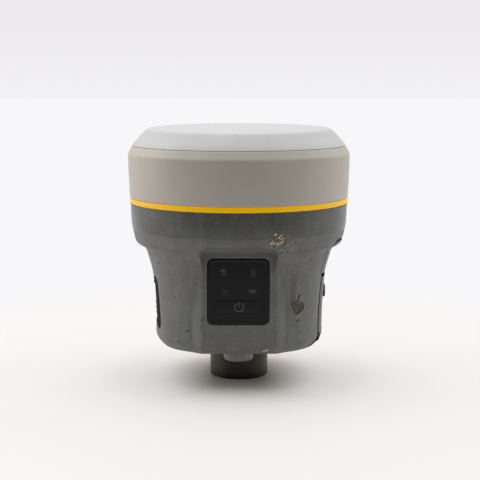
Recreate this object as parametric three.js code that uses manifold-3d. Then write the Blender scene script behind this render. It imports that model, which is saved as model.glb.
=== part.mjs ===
// A pole-mounted GNSS survey receiver: antenna under a round radome, a waisted lower housing with a
// front keypad, a battery door, a rubber port cover and a quick-release pole adapter underneath.
// Millimetres, +Z up. The origin is the centre of the adapter's underside, where a survey pole's
// shoulder seats. The keypad faces -Y (front), the battery door +X and the port cover -X.
import * as THREE from "three";
import { mergeVertices } from "three/addons/utils/BufferGeometryUtils.js";
import loadManifold from "manifold-3d";

const wasm = await loadManifold();
wasm.setup();

// ---------------------------------------------------------------- driving dimensions
const SEG = 40; // segments round the large turned shapes
const OUTSIDE = 62; // side cutters run out to here, past the widest radius

const H_TOP = 136; // overall height
const R_RADOME = 59.5; // largest radius
const Z_SEAM = 125.5; // joint between radome cap and skirt
const Z_RING_TOP = 97.8; // coloured accent ring
const Z_RING_LOW = 94.9;
const Z_HOUSING_TOP = 94.7;
const Z_FLOOR = 19.8; // underside of the lower housing

const Y_PAD = -45.5; // plane of the flat front pad
const PAD_HALF = 19.4; // half width of the pad's flat
const PAD_FOOT = 23.4; // half width at the foot of its chamfers
const PAD_TOP = 74;
const HOOD_TOP = 75.6; // top of the cut that clears the flare over the pad

const SIDE_HALF = 22.7; // half width of the side openings
const SPLIT_Z = 57.9; // joint between battery door and side fairing
const HINGE_X = 41.0;
const HINGE_Z = 23.2;
const PIN_R = 0.9; // hinge pin
const BAY_HALF_W = 18.4; // inside of the battery bay
const BAY_HALF_H = 10.15;
const BATTERY_Z = 42.35; // mid height of bay, battery and door seal
const PORT_MID = 42.85; // mid height of the port opening
const ROUND_PORT = [-8.5, PORT_MID]; // y, z
const USB_PORT = [9.5, PORT_MID];

const KEY_W = 32.2; // keypad panel
const KEY_H = 34.8;
const KEY_R = 2.8;
const KEY_Z = 52.9; // its mid height
const BUTTON_W = 23.4; // power button
const BUTTON_H = 6.8;
const BUTTON_Z = 45.3;
const LED_X = 7.4;
const LED_TOP_Z = 63.0;
const LED_LOW_Z = 53.8;
const LEDS = [ // name, x, z
  ["led_window_satellites", -LED_X, LED_TOP_Z],
  ["led_window_radio", LED_X, LED_TOP_Z],
  ["led_window_wifi", -LED_X, LED_LOW_Z],
  ["led_window_battery", LED_X, LED_LOW_Z],
];

const PLATE_W = 30; // rating plate on the back
const PLATE_H = 22;
const PLATE_Z = 47;
const SCREW_OFFSET = 25.5; // housing screws, in x and y
const SCREWS = [[1, 1], [-1, 1], [-1, -1], [1, -1]].map(([x, y]) => [
  x * SCREW_OFFSET,
  y * SCREW_OFFSET,
]);
const JACK_Y = 31; // radio antenna jack
const VENT = [-30, 4]; // x, y

const R_ADAPTER = 15.7;
const R_SPIGOT = 11.0;
const R_GROOVE = 9.2;
const R_SOCKET = R_SPIGOT + 0.4; // bore of the socket and of the latch plate
const R_COLLAR = 18.0; // collar under the socket
const R_THREAD = 7.25; // 5/8 inch - 11 pole thread, drawn at its mean radius
const LATCH_OFFSET = -1.9; // the latch plate's hole sits this far forward at rest
const LATCH_Z = 25.6; // mid height of latch plate and spring
const LATCH_PIN_Y = -19.6; // button's pin, in the latch plate

// ---------------------------------------------------------------- solid helpers
// A closed three.js geometry as a solid; sliver faces are dropped and the winding is put right.
function solid(geometry) {
  const bare = new THREE.BufferGeometry();
  bare.setAttribute("position", geometry.attributes.position);
  bare.setIndex(geometry.index);
  const welded = mergeVertices(bare, 1e-4);
  const vertices = new Float32Array(welded.attributes.position.array);
  const index = welded.index.array;
  const build = (reversed) => {
    const triangles = [];
    for (let i = 0; i < index.length; i += 3) {
      const [a, b, c] = index.subarray(i, i + 3);
      if (a === b || b === c || a === c) continue;
      triangles.push(...(reversed ? [a, c, b] : [a, b, c]));
    }
    const triVerts = new Uint32Array(triangles);
    return new wasm.Manifold(new wasm.Mesh({ numProp: 3, vertProperties: vertices, triVerts }));
  };
  const result = build(false);
  return result.volume() > 0 ? result : build(true);
}

function geometryOf(manifold) {
  const { numProp, numVert, vertProperties, triVerts } = manifold.getMesh();
  const positions = new Float32Array(numVert * 3);
  for (let i = 0; i < numVert; i++) {
    positions.set(vertProperties.subarray(i * numProp, i * numProp + 3), i * 3);
  }
  const geometry = new THREE.BufferGeometry();
  geometry.setAttribute("position", new THREE.BufferAttribute(positions, 3));
  geometry.setIndex(new THREE.BufferAttribute(new Uint32Array(triVerts), 1));
  geometry.computeVertexNormals();
  return geometry;
}

const cut = (body, ...tools) => tools.reduce((rest, tool) => rest.subtract(tool), body);
const join = (body, ...others) => others.reduce((sum, other) => sum.add(other), body);
const times = (count, make) => Array.from({ length: count }, (_, i) => make(i));

const box = (x0, x1, y0, y1, z0, z1) => {
  const block = new THREE.BoxGeometry(x1 - x0, y1 - y0, z1 - z0);
  return solid(block.translate((x0 + x1) / 2, (y0 + y1) / 2, (z0 + z1) / 2));
};

// Cylinders along each axis, from start to end, centred on the other two coordinates.
const cylinder = (r, length, seg) => new THREE.CylinderGeometry(r, r, length, seg);
const cylX = (r, start, end, y = 0, z = 0, seg = 24) =>
  solid(cylinder(r, end - start, seg).rotateZ(Math.PI / 2).translate((start + end) / 2, y, z));
const cylY = (r, start, end, x = 0, z = 0, seg = 32) =>
  solid(cylinder(r, end - start, seg).translate(x, (start + end) / 2, z));
const cylZ = (r, start, end, x = 0, y = 0, seg = 48) =>
  solid(cylinder(r, end - start, seg).rotateX(Math.PI / 2).translate(x, y, (start + end) / 2));

// Turned about Z from [radius, height] pairs.
const vectors = (pairs) => pairs.map(([a, b]) => new THREE.Vector2(a, b));
const lathe = (profile, seg) =>
  new THREE.LatheGeometry(vectors(profile), seg).rotateX(Math.PI / 2);
const turned = (profile, seg = SEG) => solid(lathe(profile, seg));
const ring = (r0, r1, z0, z1) => turned([[r0, z0], [r1, z0], [r1, z1], [r0, z1], [r0, z0]]);

const polygon = (pairs) => new THREE.Shape(vectors(pairs));
const regularPolygon = (r, sides) =>
  polygon(times(sides, (i) => (i * Math.PI * 2) / sides).map((angle) => [
    r * Math.cos(angle),
    r * Math.sin(angle),
  ]));

// Rectangle with rounded corners, centred on its own origin.
function roundedShape(w, h, r) {
  const shape = new THREE.Shape();
  const x = -w / 2;
  const y = -h / 2;
  shape.moveTo(x + r, y);
  shape.lineTo(x + w - r, y);
  shape.absarc(x + w - r, y + r, r, -Math.PI / 2, 0, false);
  shape.lineTo(x + w, y + h - r);
  shape.absarc(x + w - r, y + h - r, r, 0, Math.PI / 2, false);
  shape.lineTo(x + r, y + h);
  shape.absarc(x + r, y + h - r, r, Math.PI / 2, Math.PI, false);
  shape.lineTo(x, y + r);
  shape.absarc(x + r, y + r, r, Math.PI, Math.PI * 1.5, false);
  return shape;
}

const extrude = (shape, depth, curveSegments = 4) =>
  new THREE.ExtrudeGeometry(shape, { depth, bevelEnabled: false, curveSegments });
// A shape drawn in (y, z), extruded along X.
const alongX = (shape, x0, x1, curveSegments) => {
  const prism = extrude(shape, x1 - x0, curveSegments);
  return solid(prism.rotateX(Math.PI / 2).rotateZ(Math.PI / 2).translate(x0, 0, 0));
};
// A shape drawn in (x, z), extruded along Y.
const alongY = (shape, y0, y1) =>
  solid(extrude(shape, y1 - y0).rotateX(Math.PI / 2).translate(0, y1, 0));
// A shape drawn in (x, y), extruded along Z.
const alongZ = (shape, z0, z1, curveSegments) =>
  solid(extrude(shape, z1 - z0, curveSegments).translate(0, 0, z0));
// Rounded slabs facing X or Y, centred on mid height z.
const slabX = (w, h, r, x0, x1, z) => alongX(roundedShape(w, h, r), x0, x1).translate(0, 0, z);
const slabY = (w, h, r, y0, y1, z) => alongY(roundedShape(w, h, r), y0, y1).translate(0, 0, z);

// A section swept along a curve.
const sweep = (section, extrudePath, steps) =>
  solid(new THREE.ExtrudeGeometry(section, { steps, extrudePath, bevelEnabled: false }));
const smoothPath = (points) =>
  new THREE.CatmullRomCurve3(points.map((point) => new THREE.Vector3(...point)));
const cable = (r, points, steps) => sweep(regularPolygon(r, 6), smoothPath(points), steps);

// ---------------------------------------------------------------- lower housing's outer form
// Half width, height. The plan is a circle in the top band and a superellipse below it.
const OUTER = [
  [41.3, Z_FLOOR], [42.7, 21.2], [44.1, 23.1], [44.85, 25.2], [44.85, 35],
  [45.8, 51.5], [46.6, 59], [48.2, 65], [49.8, 70.1], [52.0, 72.4],
  [54.8, 73.6], [56.0, 75.2], [57.3, 80.9], [58.0, 86], [58.3, Z_HOUSING_TOP],
];
// Height, superellipse exponent (2 is a circle).
const EXPONENT = [
  [19.8, 2.62], [50, 2.63], [58.8, 2.66], [65.4, 2.57], [70.4, 2.45],
  [72, 2.3], [73.8, 2.08], [75, 2.0], [136, 2.0],
];

function exponentAt(z) {
  if (z <= EXPONENT[0][0]) return EXPONENT[0][1];
  for (let i = 1; i < EXPONENT.length; i++) {
    const [z0, value0] = EXPONENT[i - 1];
    const [z1, value1] = EXPONENT[i];
    if (z <= z1) return value0 + ((z - z0) / (z1 - z0)) * (value1 - value0);
  }
  return EXPONENT[EXPONENT.length - 1][1];
}

// A turned form with its plan pushed out to the superellipse for each height.
function squared(profile) {
  const geometry = lathe(profile, SEG);
  const position = geometry.attributes.position;
  for (let i = 0; i < position.count; i++) {
    const x = position.getX(i);
    const y = position.getY(i);
    const r = Math.hypot(x, y);
    if (r < 1e-6) continue;
    const n = exponentAt(position.getZ(i));
    const stretch = (Math.abs(x / r) ** n + Math.abs(y / r) ** n) ** (-1 / n);
    position.setXY(i, x * stretch, y * stretch);
  }
  return solid(geometry);
}

const outerBody = (inset = 0) =>
  squared([[0, Z_FLOOR], ...OUTER.map(([r, z]) => [r - inset, z]), [0, Z_HOUSING_TOP]]);

// Flat pad with chamfered sides, a little proud low down, running out into the rim at its foot.
function frontPad() {
  const plan = polygon([
    [-PAD_FOOT, -42.1], [-PAD_HALF, Y_PAD], [PAD_HALF, Y_PAD],
    [PAD_FOOT, -42.1], [PAD_FOOT, -30], [-PAD_FOOT, -30],
  ]);
  const side = polygon([
    [-30, Z_FLOOR], [-41.6, Z_FLOOR], [-44.7, 22.9],
    [Y_PAD, 24.8], [Y_PAD, PAD_TOP], [-30, PAD_TOP],
  ]);
  const limit = squared([
    [0, Z_FLOOR], [41.3, Z_FLOOR], [42.8, 21.3], [45.4, 24.6],
    [48.5, 30], [52, 40], [58, 75], [0, 75],
  ]);
  return alongZ(plan, Z_FLOOR, PAD_TOP)
    .intersect(alongX(side, -PAD_FOOT, PAD_FOOT))
    .intersect(limit);
}

// Cutter that sinks the pad's top under the flare, splayed outwards to the front.
function hood() {
  const mouth = PAD_HALF + 5.5;
  const plan = polygon([[-PAD_HALF, Y_PAD], [PAD_HALF, Y_PAD], [mouth, -64], [-mouth, -64]]);
  const face = slabY(2 * PAD_HALF + 3, 80, 4, -66, -45, HOOD_TOP - 40);
  return alongZ(plan, 30, HOOD_TOP).intersect(face);
}

// ---------------------------------------------------------------- lower housing
// Half width, height of the inner wall.
const INNER = [
  [40.6, 22.6], [42.0, 24.8], [42.9, 50], [44.0, 58.8],
  [47.6, 70.2], [52.8, 76.0], [55.6, 83], [55.9, 95.2],
];
const SIDE_THICKENING = 2.8; // extra wall beside the side openings, below z = 80

// Kept clear of the pads, the battery pocket and the port bay.
function cavity() {
  const hollow = (profile) => squared([[0, 22.6], ...profile, [0, 95.2]]);
  const sideSector = box(30, OUTSIDE, -28, 28, 18, 80.5);
  const thickened = hollow(INNER.map(([r, z]) => [z > 80 ? r : r - SIDE_THICKENING, z]));
  return cut(
    join(cut(hollow(INNER), sideSector), thickened.intersect(sideSector)),
    box(-27, 27, -60, -42.8, 18, 77.4), // front pad
    box(-27, 27, 42.8, 60, 18, 73.0), // back pad
    box(37.3, OUTSIDE, -25.6, 25.6, 18, 60.6), // battery pocket
    box(-OUTSIDE, -33.8, -25.6, 25.6, 18, 58.4), // port bay
  );
}

const doorPocket = () =>
  join(
    box(39.5, OUTSIDE, -SIDE_HALF, SIDE_HALF, HINGE_Z, SPLIT_Z),
    box(38.2, OUTSIDE, -16.2, 16.2, 18, HINGE_Z + 2.8),
    box(43.0, OUTSIDE, -SIDE_HALF, SIDE_HALF, 18, HINGE_Z + 2.8),
  );

// Notch over the door for the latch bolt, open to the side.
const boltNotch = () => box(39.5, OUTSIDE, -5.8, 5.8, 57, 59.6);

// Outline in (y, z) of the fixed panel over the battery door, drawn in by a gap all round.
function fairingOutline(gap) {
  const shape = new THREE.Shape();
  const half = 25.3 - gap;
  const top = 76.4 - gap;
  const r = 5 - gap;
  const footHalf = SIDE_HALF - gap;
  const foot = SPLIT_Z + (gap ? 0.05 : 0);
  shape.moveTo(-footHalf, foot);
  shape.lineTo(footHalf, foot);
  shape.lineTo(footHalf, 58.3);
  shape.lineTo(half - 0.3, 60.4);
  shape.lineTo(half, 66);
  shape.lineTo(half, top - r);
  shape.absarc(half - r, top - r, r, 0, Math.PI / 2, false);
  shape.lineTo(-half + r, top);
  shape.absarc(-half + r, top - r, r, Math.PI / 2, Math.PI, false);
  shape.lineTo(-half, 66);
  shape.lineTo(-half + 0.3, 60.4);
  shape.lineTo(-footHalf, 58.3);
  return shape;
}
const fairingBlock = (gap) => alongX(fairingOutline(gap), 36, OUTSIDE, 5);

// A box centred on a port's (y, z).
const portBox = ([y, z], x0, x1, halfW, halfH) =>
  box(x0, x1, y - halfW, y + halfW, z - halfH, z + halfH);

const sideOpenings = () => [
  doorPocket(),
  boltNotch(),
  box( // mouth of the battery bay
    30, 45,
    -BAY_HALF_W - 0.2, BAY_HALF_W + 0.2,
    BATTERY_Z - BAY_HALF_H - 0.2, BATTERY_Z + BAY_HALF_H + 0.2,
  ),
  cut(fairingBlock(0), outerBody(2.4)),
  slabX(2 * (SIDE_HALF + 0.9), 27.7, 3, -OUTSIDE, -39.8, PORT_MID), // port cover pocket
  slabX(38, 20, 3, -45, -36.4, PORT_MID), // port bay
  cylX(5.2, -42, -30, ...ROUND_PORT),
  portBox(USB_PORT, -42, -30, 4.9, 2.1),
];
const faceOpenings = () => [
  slabY(KEY_W + 0.5, KEY_H + 0.5, KEY_R + 0.2, -62, -43.4, KEY_Z), // keypad pocket
  slabY(27, 29.5, 2, -50, -40, KEY_Z), // window behind the keypad
  slabY(PLATE_W + 0.4, PLATE_H + 0.4, 2, 45.0, 60, PLATE_Z),
];
const floorOpenings = () => [
  cylZ(R_COLLAR + 0.2, 18, 24), // adapter socket
  box(-6, 6, -25.6, -17.0, 18, 24), // release button stem
  cylZ(5.7, 18, 24, 0, JACK_Y, 32),
  cylZ(3.2, 18, 24, ...VENT, 24),
  ...SCREWS.flatMap(([x, y]) => [cylZ(1.7, 18, 24, x, y, 20), cylZ(3.4, 18, 21.3, x, y, 24)]),
];

// Lug at one end of the door's hinge barrel.
function hingeLug(y0, y1) {
  const r = 1.95;
  const arm = box(36.5, HINGE_X, y0, y1, HINGE_Z - r, HINGE_Z + r);
  return join(cylY(r, y0, y1, HINGE_X, HINGE_Z, 24), arm).intersect(outerBody(0.1));
}

function lowerHousing() {
  const pad = frontPad();
  const form = cut(join(outerBody(), pad, pad.mirror([0, 1, 0])), hood());
  let housing = cut(form, cavity(), ...sideOpenings(), ...faceOpenings(), ...floorOpenings());
  const pinBore = cylY(PIN_R + 0.12, -21.5, 21.5, HINGE_X, HINGE_Z, 24);
  for (const [y0, y1] of [[-20.4, -16.4], [16.4, 20.4]]) {
    housing = cut(join(housing, hingeLug(y0, y1)), pinBore);
  }
  return housing;
}

const sideFairing = () =>
  cut(outerBody().intersect(fairingBlock(0.35)), outerBody(2.1), boltNotch());

// ---------------------------------------------------------------- battery door
const DOOR_TOP = 57.5;
const DOOR_HALF = SIDE_HALF - 0.4;
const BARREL_R = 2.2;
const BARREL_HALF = 15.9; // half length

function batteryDoor() {
  const panel = outerBody().intersect(box(39.9, 60, -DOOR_HALF, DOOR_HALF, HINGE_Z, DOOR_TOP));
  // Raised ramp round the latch.
  const ramp = polygon([
    [43.2, 53.6], [43.2, 49.0], [46.3, 49.0], [46.4, 50.6], [45.9, 53.0], [45.6, 53.6],
  ]);
  const leaf = cut(
    join(panel, alongY(ramp, -9, 9)),
    box(38, 43.0, -17.5, 17.5, 29.5, 52), // hollow inner side
    box(38, 43.0, -5.4, 5.4, 50, 59), // bolt channel
    box(42.8, 44.2, -4.4, 4.4, 40.1, 49.7), // slot for the slider's neck
    box(44.1, 60, -6.4, 6.4, 39.5, 50.3), // recess for the thumb piece
    box(38, 60, 16.0, 24, 20, HINGE_Z + 2.7), // clearance for the hinge lugs
    box(38, 60, -24, -16.0, 20, HINGE_Z + 2.7),
  );
  const barrel = cylY(BARREL_R, -BARREL_HALF, BARREL_HALF, HINGE_X, HINGE_Z, 32);
  return cut(
    join(
      leaf,
      barrel.intersect(box(30, 60, -30, 30, 10, HINGE_Z + 3)),
      box(HINGE_X - 1.1, 43.2, -BARREL_HALF, BARREL_HALF, HINGE_Z, 26),
    ),
    cylY(PIN_R + 0.16, -18, 18, HINGE_X, HINGE_Z, 24),
  );
}

function doorLatch() {
  const GROOVE_PITCH = 1.35;
  const slider = join(
    box(44.3, 46.7, -6, 6, 43.5, 49.9), // thumb piece
    box(42.0, 44.8, -4, 4, 44.0, 49.3), // neck
    box(41.2, 42.7, -5, 5, 41, 59.1), // bolt
  );
  const groove = (i) => box(46.35, 47, -7, 7, 44.4 + i * GROOVE_PITCH, 45.0 + i * GROOVE_PITCH);
  return cut(slider, ...times(4, groove));
}

const hingePin = () => cylY(PIN_R, -20.2, 20.2, HINGE_X, HINGE_Z, 16);

const doorSeal = () =>
  cut(
    slabX(41.6, 23.0, 2.4, 39.54, 39.86, BATTERY_Z),
    slabX(38.6, 21.2, 1.6, 38, 41, BATTERY_Z),
  );

// ---------------------------------------------------------------- battery and its bay
function batteryBay() {
  const WALL = 1.2;
  const BACK_X = -22.0; // inner face of the end wall
  const block = (x0, x1, wall) => {
    const w = BAY_HALF_W + wall;
    const h = BAY_HALF_H + wall;
    return box(x0, x1, -w, w, BATTERY_Z - h, BATTERY_Z + h);
  };
  return cut(
    block(BACK_X - WALL, 36.4, WALL),
    block(BACK_X, 40, 0),
    box(-24, -20, -12, 12, 37, 47), // opening for the contacts
  );
}

const batteryPack = () =>
  cut(
    slabX(36, 19.5, 2.2, -21.0, 38.9, BATTERY_Z),
    box(-23, -20.2, -10.4, 10.4, 38.0, 46.0), // contact recess
  );

function batteryContacts() {
  const PITCH = 5;
  const blade = (i) => box(-22.4, -20.6, -8.4 + i * PITCH, -6.6 + i * PITCH, 40, 44);
  return join(box(-25.4, -22.2, -11.4, 11.4, 38.0, 46.4), ...times(4, blade));
}

// ---------------------------------------------------------------- ports
function portCover() {
  const skin = cut(outerBody(0.2), outerBody(6));
  const face = slabX(2 * (SIDE_HALF + 0.5), 26.6, 2.6, -OUTSIDE, -40.2, PORT_MID);
  return join(
    cut(skin.intersect(face), box(-48, -44.2, -9, 9, 46.6, 47.6)), // groove near the top
    cylX(3.0, -42, -38.4, ...ROUND_PORT, 20), // plug for the round port
  );
}

function roundPort() {
  const PINS = 7;
  const PIN_CIRCLE_R = 2.3;
  const [portY, portZ] = ROUND_PORT;
  const pin = (i) => {
    const angle = (i * Math.PI * 2) / PINS;
    const y = portY + PIN_CIRCLE_R * Math.cos(angle);
    const z = portZ + PIN_CIRCLE_R * Math.sin(angle);
    return cylX(0.4, -36.5, -33, y, z, 8);
  };
  return join(
    cut(cylX(6.3, -37.9, -36.5, ...ROUND_PORT), cylX(3.9, -39, -36, ...ROUND_PORT)),
    cut(cylX(5.0, -39.3, -27, ...ROUND_PORT), cylX(3.9, -40, -33.5, ...ROUND_PORT)),
    ...times(PINS, pin),
  );
}

const usbPort = () =>
  join(
    cut(portBox(USB_PORT, -38.4, -27, 4.4, 1.6), portBox(USB_PORT, -40, -31, 4.0, 1.2)),
    portBox(USB_PORT, -37.6, -30, 3.2, 0.35), // tongue
  );

// ---------------------------------------------------------------- keypad
const keypadPanel = () =>
  cut(
    slabY(KEY_W, KEY_H, KEY_R, -45.25, -43.75, KEY_Z),
    slabY(BUTTON_W + 0.5, BUTTON_H + 0.5, 1.2, -46, -43, BUTTON_Z),
    ...LEDS.map(([, x, z]) => cylY(2.35, -46, -43, x, z, 16)),
  );

const powerButton = () =>
  join(
    slabY(BUTTON_W, BUTTON_H, 1.0, -45.35, -44.3, BUTTON_Z),
    cylY(1.5, -44.5, -43.05, 0, BUTTON_Z, 16), // plunger
  );

const keypadGasket = () =>
  cut(
    slabY(KEY_W - 0.4, KEY_H - 0.4, 2.6, -43.72, -43.43, KEY_Z),
    slabY(28.4, 30.8, 2, -45, -42, KEY_Z),
  );

const ledWindow = (x, z) => cylY(2.1, -45.2, -43.5, x, z, 16);

const keypadBoard = () =>
  join(
    box(-15, 15, -41.0, -39.8, 36.6, 69.2),
    ...LEDS.map(([, x, z]) => box(x - 1, x + 1, -42.2, -40.9, z - 0.8, z + 0.8)),
  );

const powerSwitch = () =>
  join(
    box(-3.1, 3.1, -41.95, -41.06, BUTTON_Z - 3.1, BUTTON_Z + 3.1),
    cylY(1.6, -42.3, -41.8, 0, BUTTON_Z, 16),
  );

const keypadFlex = () =>
  sweep(
    polygon([[-5, -0.12], [5, -0.12], [5, 0.12], [-5, 0.12]]),
    smoothPath([[0, -39.5, 63], [0, -39.4, 69], [0, -38.8, 73], [0, -38.2, 78.6]]),
    10,
  );

// ---------------------------------------------------------------- pole adapter and quick release
const poleAdapter = () =>
  cut(
    turned([
      [0, 0], [14.9, 0], [R_ADAPTER, 0.8], [R_ADAPTER, 19.0], [15.4, 19.6], [15.4, 20.8],
      [R_SPIGOT, 20.8], [R_SPIGOT, 24.0], [R_GROOVE, 24.0], [R_GROOVE, 27.4],
      [R_SPIGOT, 27.4], [R_SPIGOT, 29.4], [10.0, 30.4], [0, 30.4],
    ]),
    cylZ(10.2, -1, 17.2), // bore for the thread insert
  );

const threadInsert = () =>
  turned([
    [R_THREAD, 0.4], [8.3, 0.4], [8.8, 0.9], [10.1, 0.9],
    [10.1, 16.9], [R_THREAD, 16.9], [R_THREAD, 0.4],
  ], 32);

function adapterSocket() {
  const SEAT_Z = 22.75; // underside, on the housing floor
  const COLLAR_BORE = 16.2;
  return cut(
    join(
      ring(R_SOCKET, 20.0, SEAT_Z, 31.0),
      ring(COLLAR_BORE, R_COLLAR, 20.2, 23.5),
      box(-5, 5, 18, 24.1, SEAT_Z, 23.8), // ledge under the spring
      box(-5, 5, 23.2, 24.1, SEAT_Z, 28.6), // stop behind the spring
    ),
    box(-15.4, 15.4, -24, 22, LATCH_Z - 1.5, LATCH_Z + 1.5), // slot for the latch plate
    box(-6.4, 6.4, -24, -14.4, 19, 22.9), // ways for the release button
    box(-6.2, 6.2, -24, -16.4, 22, 28),
    cylY(2.6, 15, 23.2, 0, LATCH_Z, 24), // spring bore
    cylZ(R_SOCKET, 20, 32, 0, 0, SEG),
    cylZ(COLLAR_BORE, 20, SEAT_Z, 0, 0, SEG),
  );
}

const latchPlate = () =>
  cut(
    alongZ(roundedShape(29.6, 39.4, 3), LATCH_Z - 1.2, LATCH_Z + 1.2).translate(0, -2.9, 0),
    cylZ(R_SOCKET, 20, 30, 0, LATCH_OFFSET, SEG),
    cylZ(1.85, 20, 30, 0, LATCH_PIN_Y, 20),
  );

function releaseButton() {
  const TAB_R = 7.55;
  const TAB_Y = -19.3;
  const TAB_Z = 11.9; // underside of the tab
  const BACK = 0.9; // straight part behind the half round
  const plan = new THREE.Shape();
  plan.moveTo(TAB_R, BACK);
  plan.lineTo(-TAB_R, BACK);
  plan.lineTo(-TAB_R, 0);
  plan.absarc(0, 0, TAB_R, Math.PI, Math.PI * 2, false);
  return join(
    alongZ(plan, TAB_Z, 19.4, 20).translate(0, TAB_Y, 0),
    box(-5.4, 5.4, -25.0, -19.5, 19.0, 22.7), // stem
    box(-4, 4, -24.5, -18.6, 22.3, 24.3),
    cylZ(1.6, 24.15, 27.0, 0, LATCH_PIN_Y, 20),
  );
}

class SpringCurve extends THREE.Curve {
  getPoint(t, target = new THREE.Vector3()) {
    const TURNS = 4.5;
    const COIL_R = 1.9;
    const START_Y = 17.45;
    const LENGTH = 5.5;
    const angle = t * Math.PI * 2 * TURNS;
    return target.set(
      COIL_R * Math.cos(angle),
      START_Y + t * LENGTH,
      LATCH_Z + COIL_R * Math.sin(angle),
    );
  }
}
const releaseSpring = () => sweep(regularPolygon(0.35, 4), new SpringCurve(), 48);

// ---------------------------------------------------------------- underside and back fittings
const antennaJack = () =>
  join(
    cut(
      turned([
        [0, 22.0], [5.4, 22.0], [5.4, 19.7], [8.0, 19.7], [8.0, 18.3],
        [4.85, 18.3], [4.85, 10.8], [4.5, 10.4], [0, 10.4],
      ], 32),
      cylZ(3.9, 9, 17.5, 0, 0, 24),
    ),
    cylZ(1.9, 12.4, 18, 0, 0, 16), // centre contact
  ).translate(0, JACK_Y, 0);

const jackNut = () =>
  cut(
    cylZ(7.4, 22.75, 25.15, 0, 0, 6).rotate([0, 0, 30]).translate(0, JACK_Y, 0),
    cylZ(5.5, 22, 26, 0, JACK_Y, 32),
  );

const jackInsulator = () => cylZ(4.4, 22.1, 28.0, 0, JACK_Y, 24);

const radioCoax = () =>
  cable(0.9, [[0, JACK_Y, 28.3], [0, JACK_Y, 36], [-6, 33, 48], [-9, 32.5, 58.4]], 18);

const ventPlug = () =>
  join(cylZ(3.05, 20.6, 22.6, ...VENT, 24), cylZ(2.2, 20.1, 20.8, ...VENT, 24));

const housingScrew = (x, y) =>
  cut(
    join(cylZ(3.1, 19.9, 21.2, x, y, 24), cylZ(1.55, 21.0, 25.8, x, y, 16)),
    cylZ(1.35, 19.7, 20.7, x, y, 6), // hexagon socket
  );

const ratingPlate = () => slabY(PLATE_W, PLATE_H, 1.8, 45.05, 45.4, PLATE_Z);

// ---------------------------------------------------------------- electronics
const DECK_TOP = 76.5; // long posts end and short posts start inside the chassis ring
const ON_MAIN_BOARD = 80.8; // underside of the parts on each board
const ON_POWER_BOARD = 60.4;

function chassisFrame() {
  const plate = cut(ring(30, 47.6, 75.8, 77.6), box(-28, 28, -60, -35, 70, 80));
  const longPosts = [[32, 18], [-32, 18], [0, 38]].map(([x, y]) =>
    cylZ(3, 60.5, DECK_TOP, x, y, 20));
  const shortPost = (x, y) => cylZ(2.6, DECK_TOP, 79.0, x, y, 20);
  const sidePosts = [35, 145].map((degrees) => {
    const angle = (degrees * Math.PI) / 180;
    return shortPost(44.16 * Math.cos(angle), 44.16 * Math.sin(angle));
  });
  return cut(
    join(plate, ...longPosts, ...sidePosts, shortPost(0, 44)),
    box(-13, 13, 27, 34, 70, 80), // opening for the board connector
  );
}

const mainBoard = () =>
  cut(
    cylZ(50, 79.1, 80.7, 0, 0, SEG),
    box(-8, 8, -52, -46, 78, 82), // notch in the front edge
    cylZ(2.2, 78, 82, 22, 40, 16),
  );
const gnssShield = () => box(-22, 22, -14, 26, ON_MAIN_BOARD, 86.0);
const wirelessModule = () => box(-16, 4, -38, -24, ON_MAIN_BOARD, 83.6);
const tiltSensor = () => box(27, 41, -8, 6, ON_MAIN_BOARD, 84.2);

const powerBoard = () =>
  cut(
    cylZ(40, 58.7, 60.2, 0, 0, SEG),
    box(-30, 30, -42, -36, 58, 61), // flat front edge
    box(36.8, 42, -30, 30, 58, 61), // flat edge on the door side
  );
const radioModem = () => box(-24, 24, -17, 17, ON_POWER_BOARD, 68.6);
const boardConnector = () => box(-12, 12, 28, 33, ON_POWER_BOARD, 78.9);
const powerLead = () =>
  cable(1.1, [[-26.4, 0, 42], [-29, 0, 46], [-29.5, 0, 52], [-29.5, 0, 58.4]], 16);

// ---------------------------------------------------------------- antenna under the radome
// Hole through the ground plane and antenna board.
const antennaHole = (z0, z1) => cylZ(3.2, z0, z1, 14, 0, 20);

const groundPlane = () =>
  cut(
    turned([[0, 98.6], [53.6, 98.6], [53.6, 103.4], [52.6, 103.4], [52.6, 100.1], [0, 100.1]]),
    antennaHole(97, 102),
  );
const antennaBoard = () => cut(cylZ(46, 100.3, 101.8, 0, 0, SEG), antennaHole(97, 103));
const lowerPatch = () => cylZ(38, 102.0, 110.4, 0, 0, SEG);
const upperPatch = () =>
  join(cylZ(24, 110.6, 117.6, 0, 0, 32), cylZ(1.6, 117.4, 118.6, 9, 0, 16));
const amplifierCan = () => box(-20, 20, -20, 20, 92.4, 98.4);
const antennaCoax = () =>
  cable(0.9, [[29, 0, 97.9], [31, 0, 94], [31, 4, 89], [30, 12, 85], [29.5, 14, 81.2]], 20);

// ---------------------------------------------------------------- radome, accent ring, seal
const radomeCap = () =>
  turned([
    [0, H_TOP], [28, 135.7], [42, 135.05], [46.6, 134.6], [49.2, 133.8], [51.7, 131.9],
    [54.7, 128.6], [56.5, 126.1], [56.4, 125.8], [54.2, 125.8], [51.6, 129.3],
    [48.6, 131.6], [34, 132.9], [0, 133.5],
  ]);
const radomeSkirt = () =>
  turned([
    [57.05, Z_SEAM], [58.95, 122.6], [59.4, 120.8], [R_RADOME, 117.5], [59.2, 109],
    [58.7, 98.4], [58.4, 97.95], [56.0, 97.95], [56.0, 119.5], [54.6, 122.6],
    [51.0, 125.4], [51.0, 128.2], [52.0, 128.2], [53.9, 125.3], [57.05, Z_SEAM],
  ]);
const accentRing = () =>
  turned([
    [56.2, Z_RING_LOW], [58.3, Z_RING_LOW], [58.62, 95.2], [58.68, 97.5],
    [58.4, Z_RING_TOP], [56.2, Z_RING_TOP], [56.2, Z_RING_LOW],
  ]);
const radomeSeal = () => solid(new THREE.TorusGeometry(55.0, 0.9, 6, SEG).translate(0, 0, 96.4));

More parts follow.
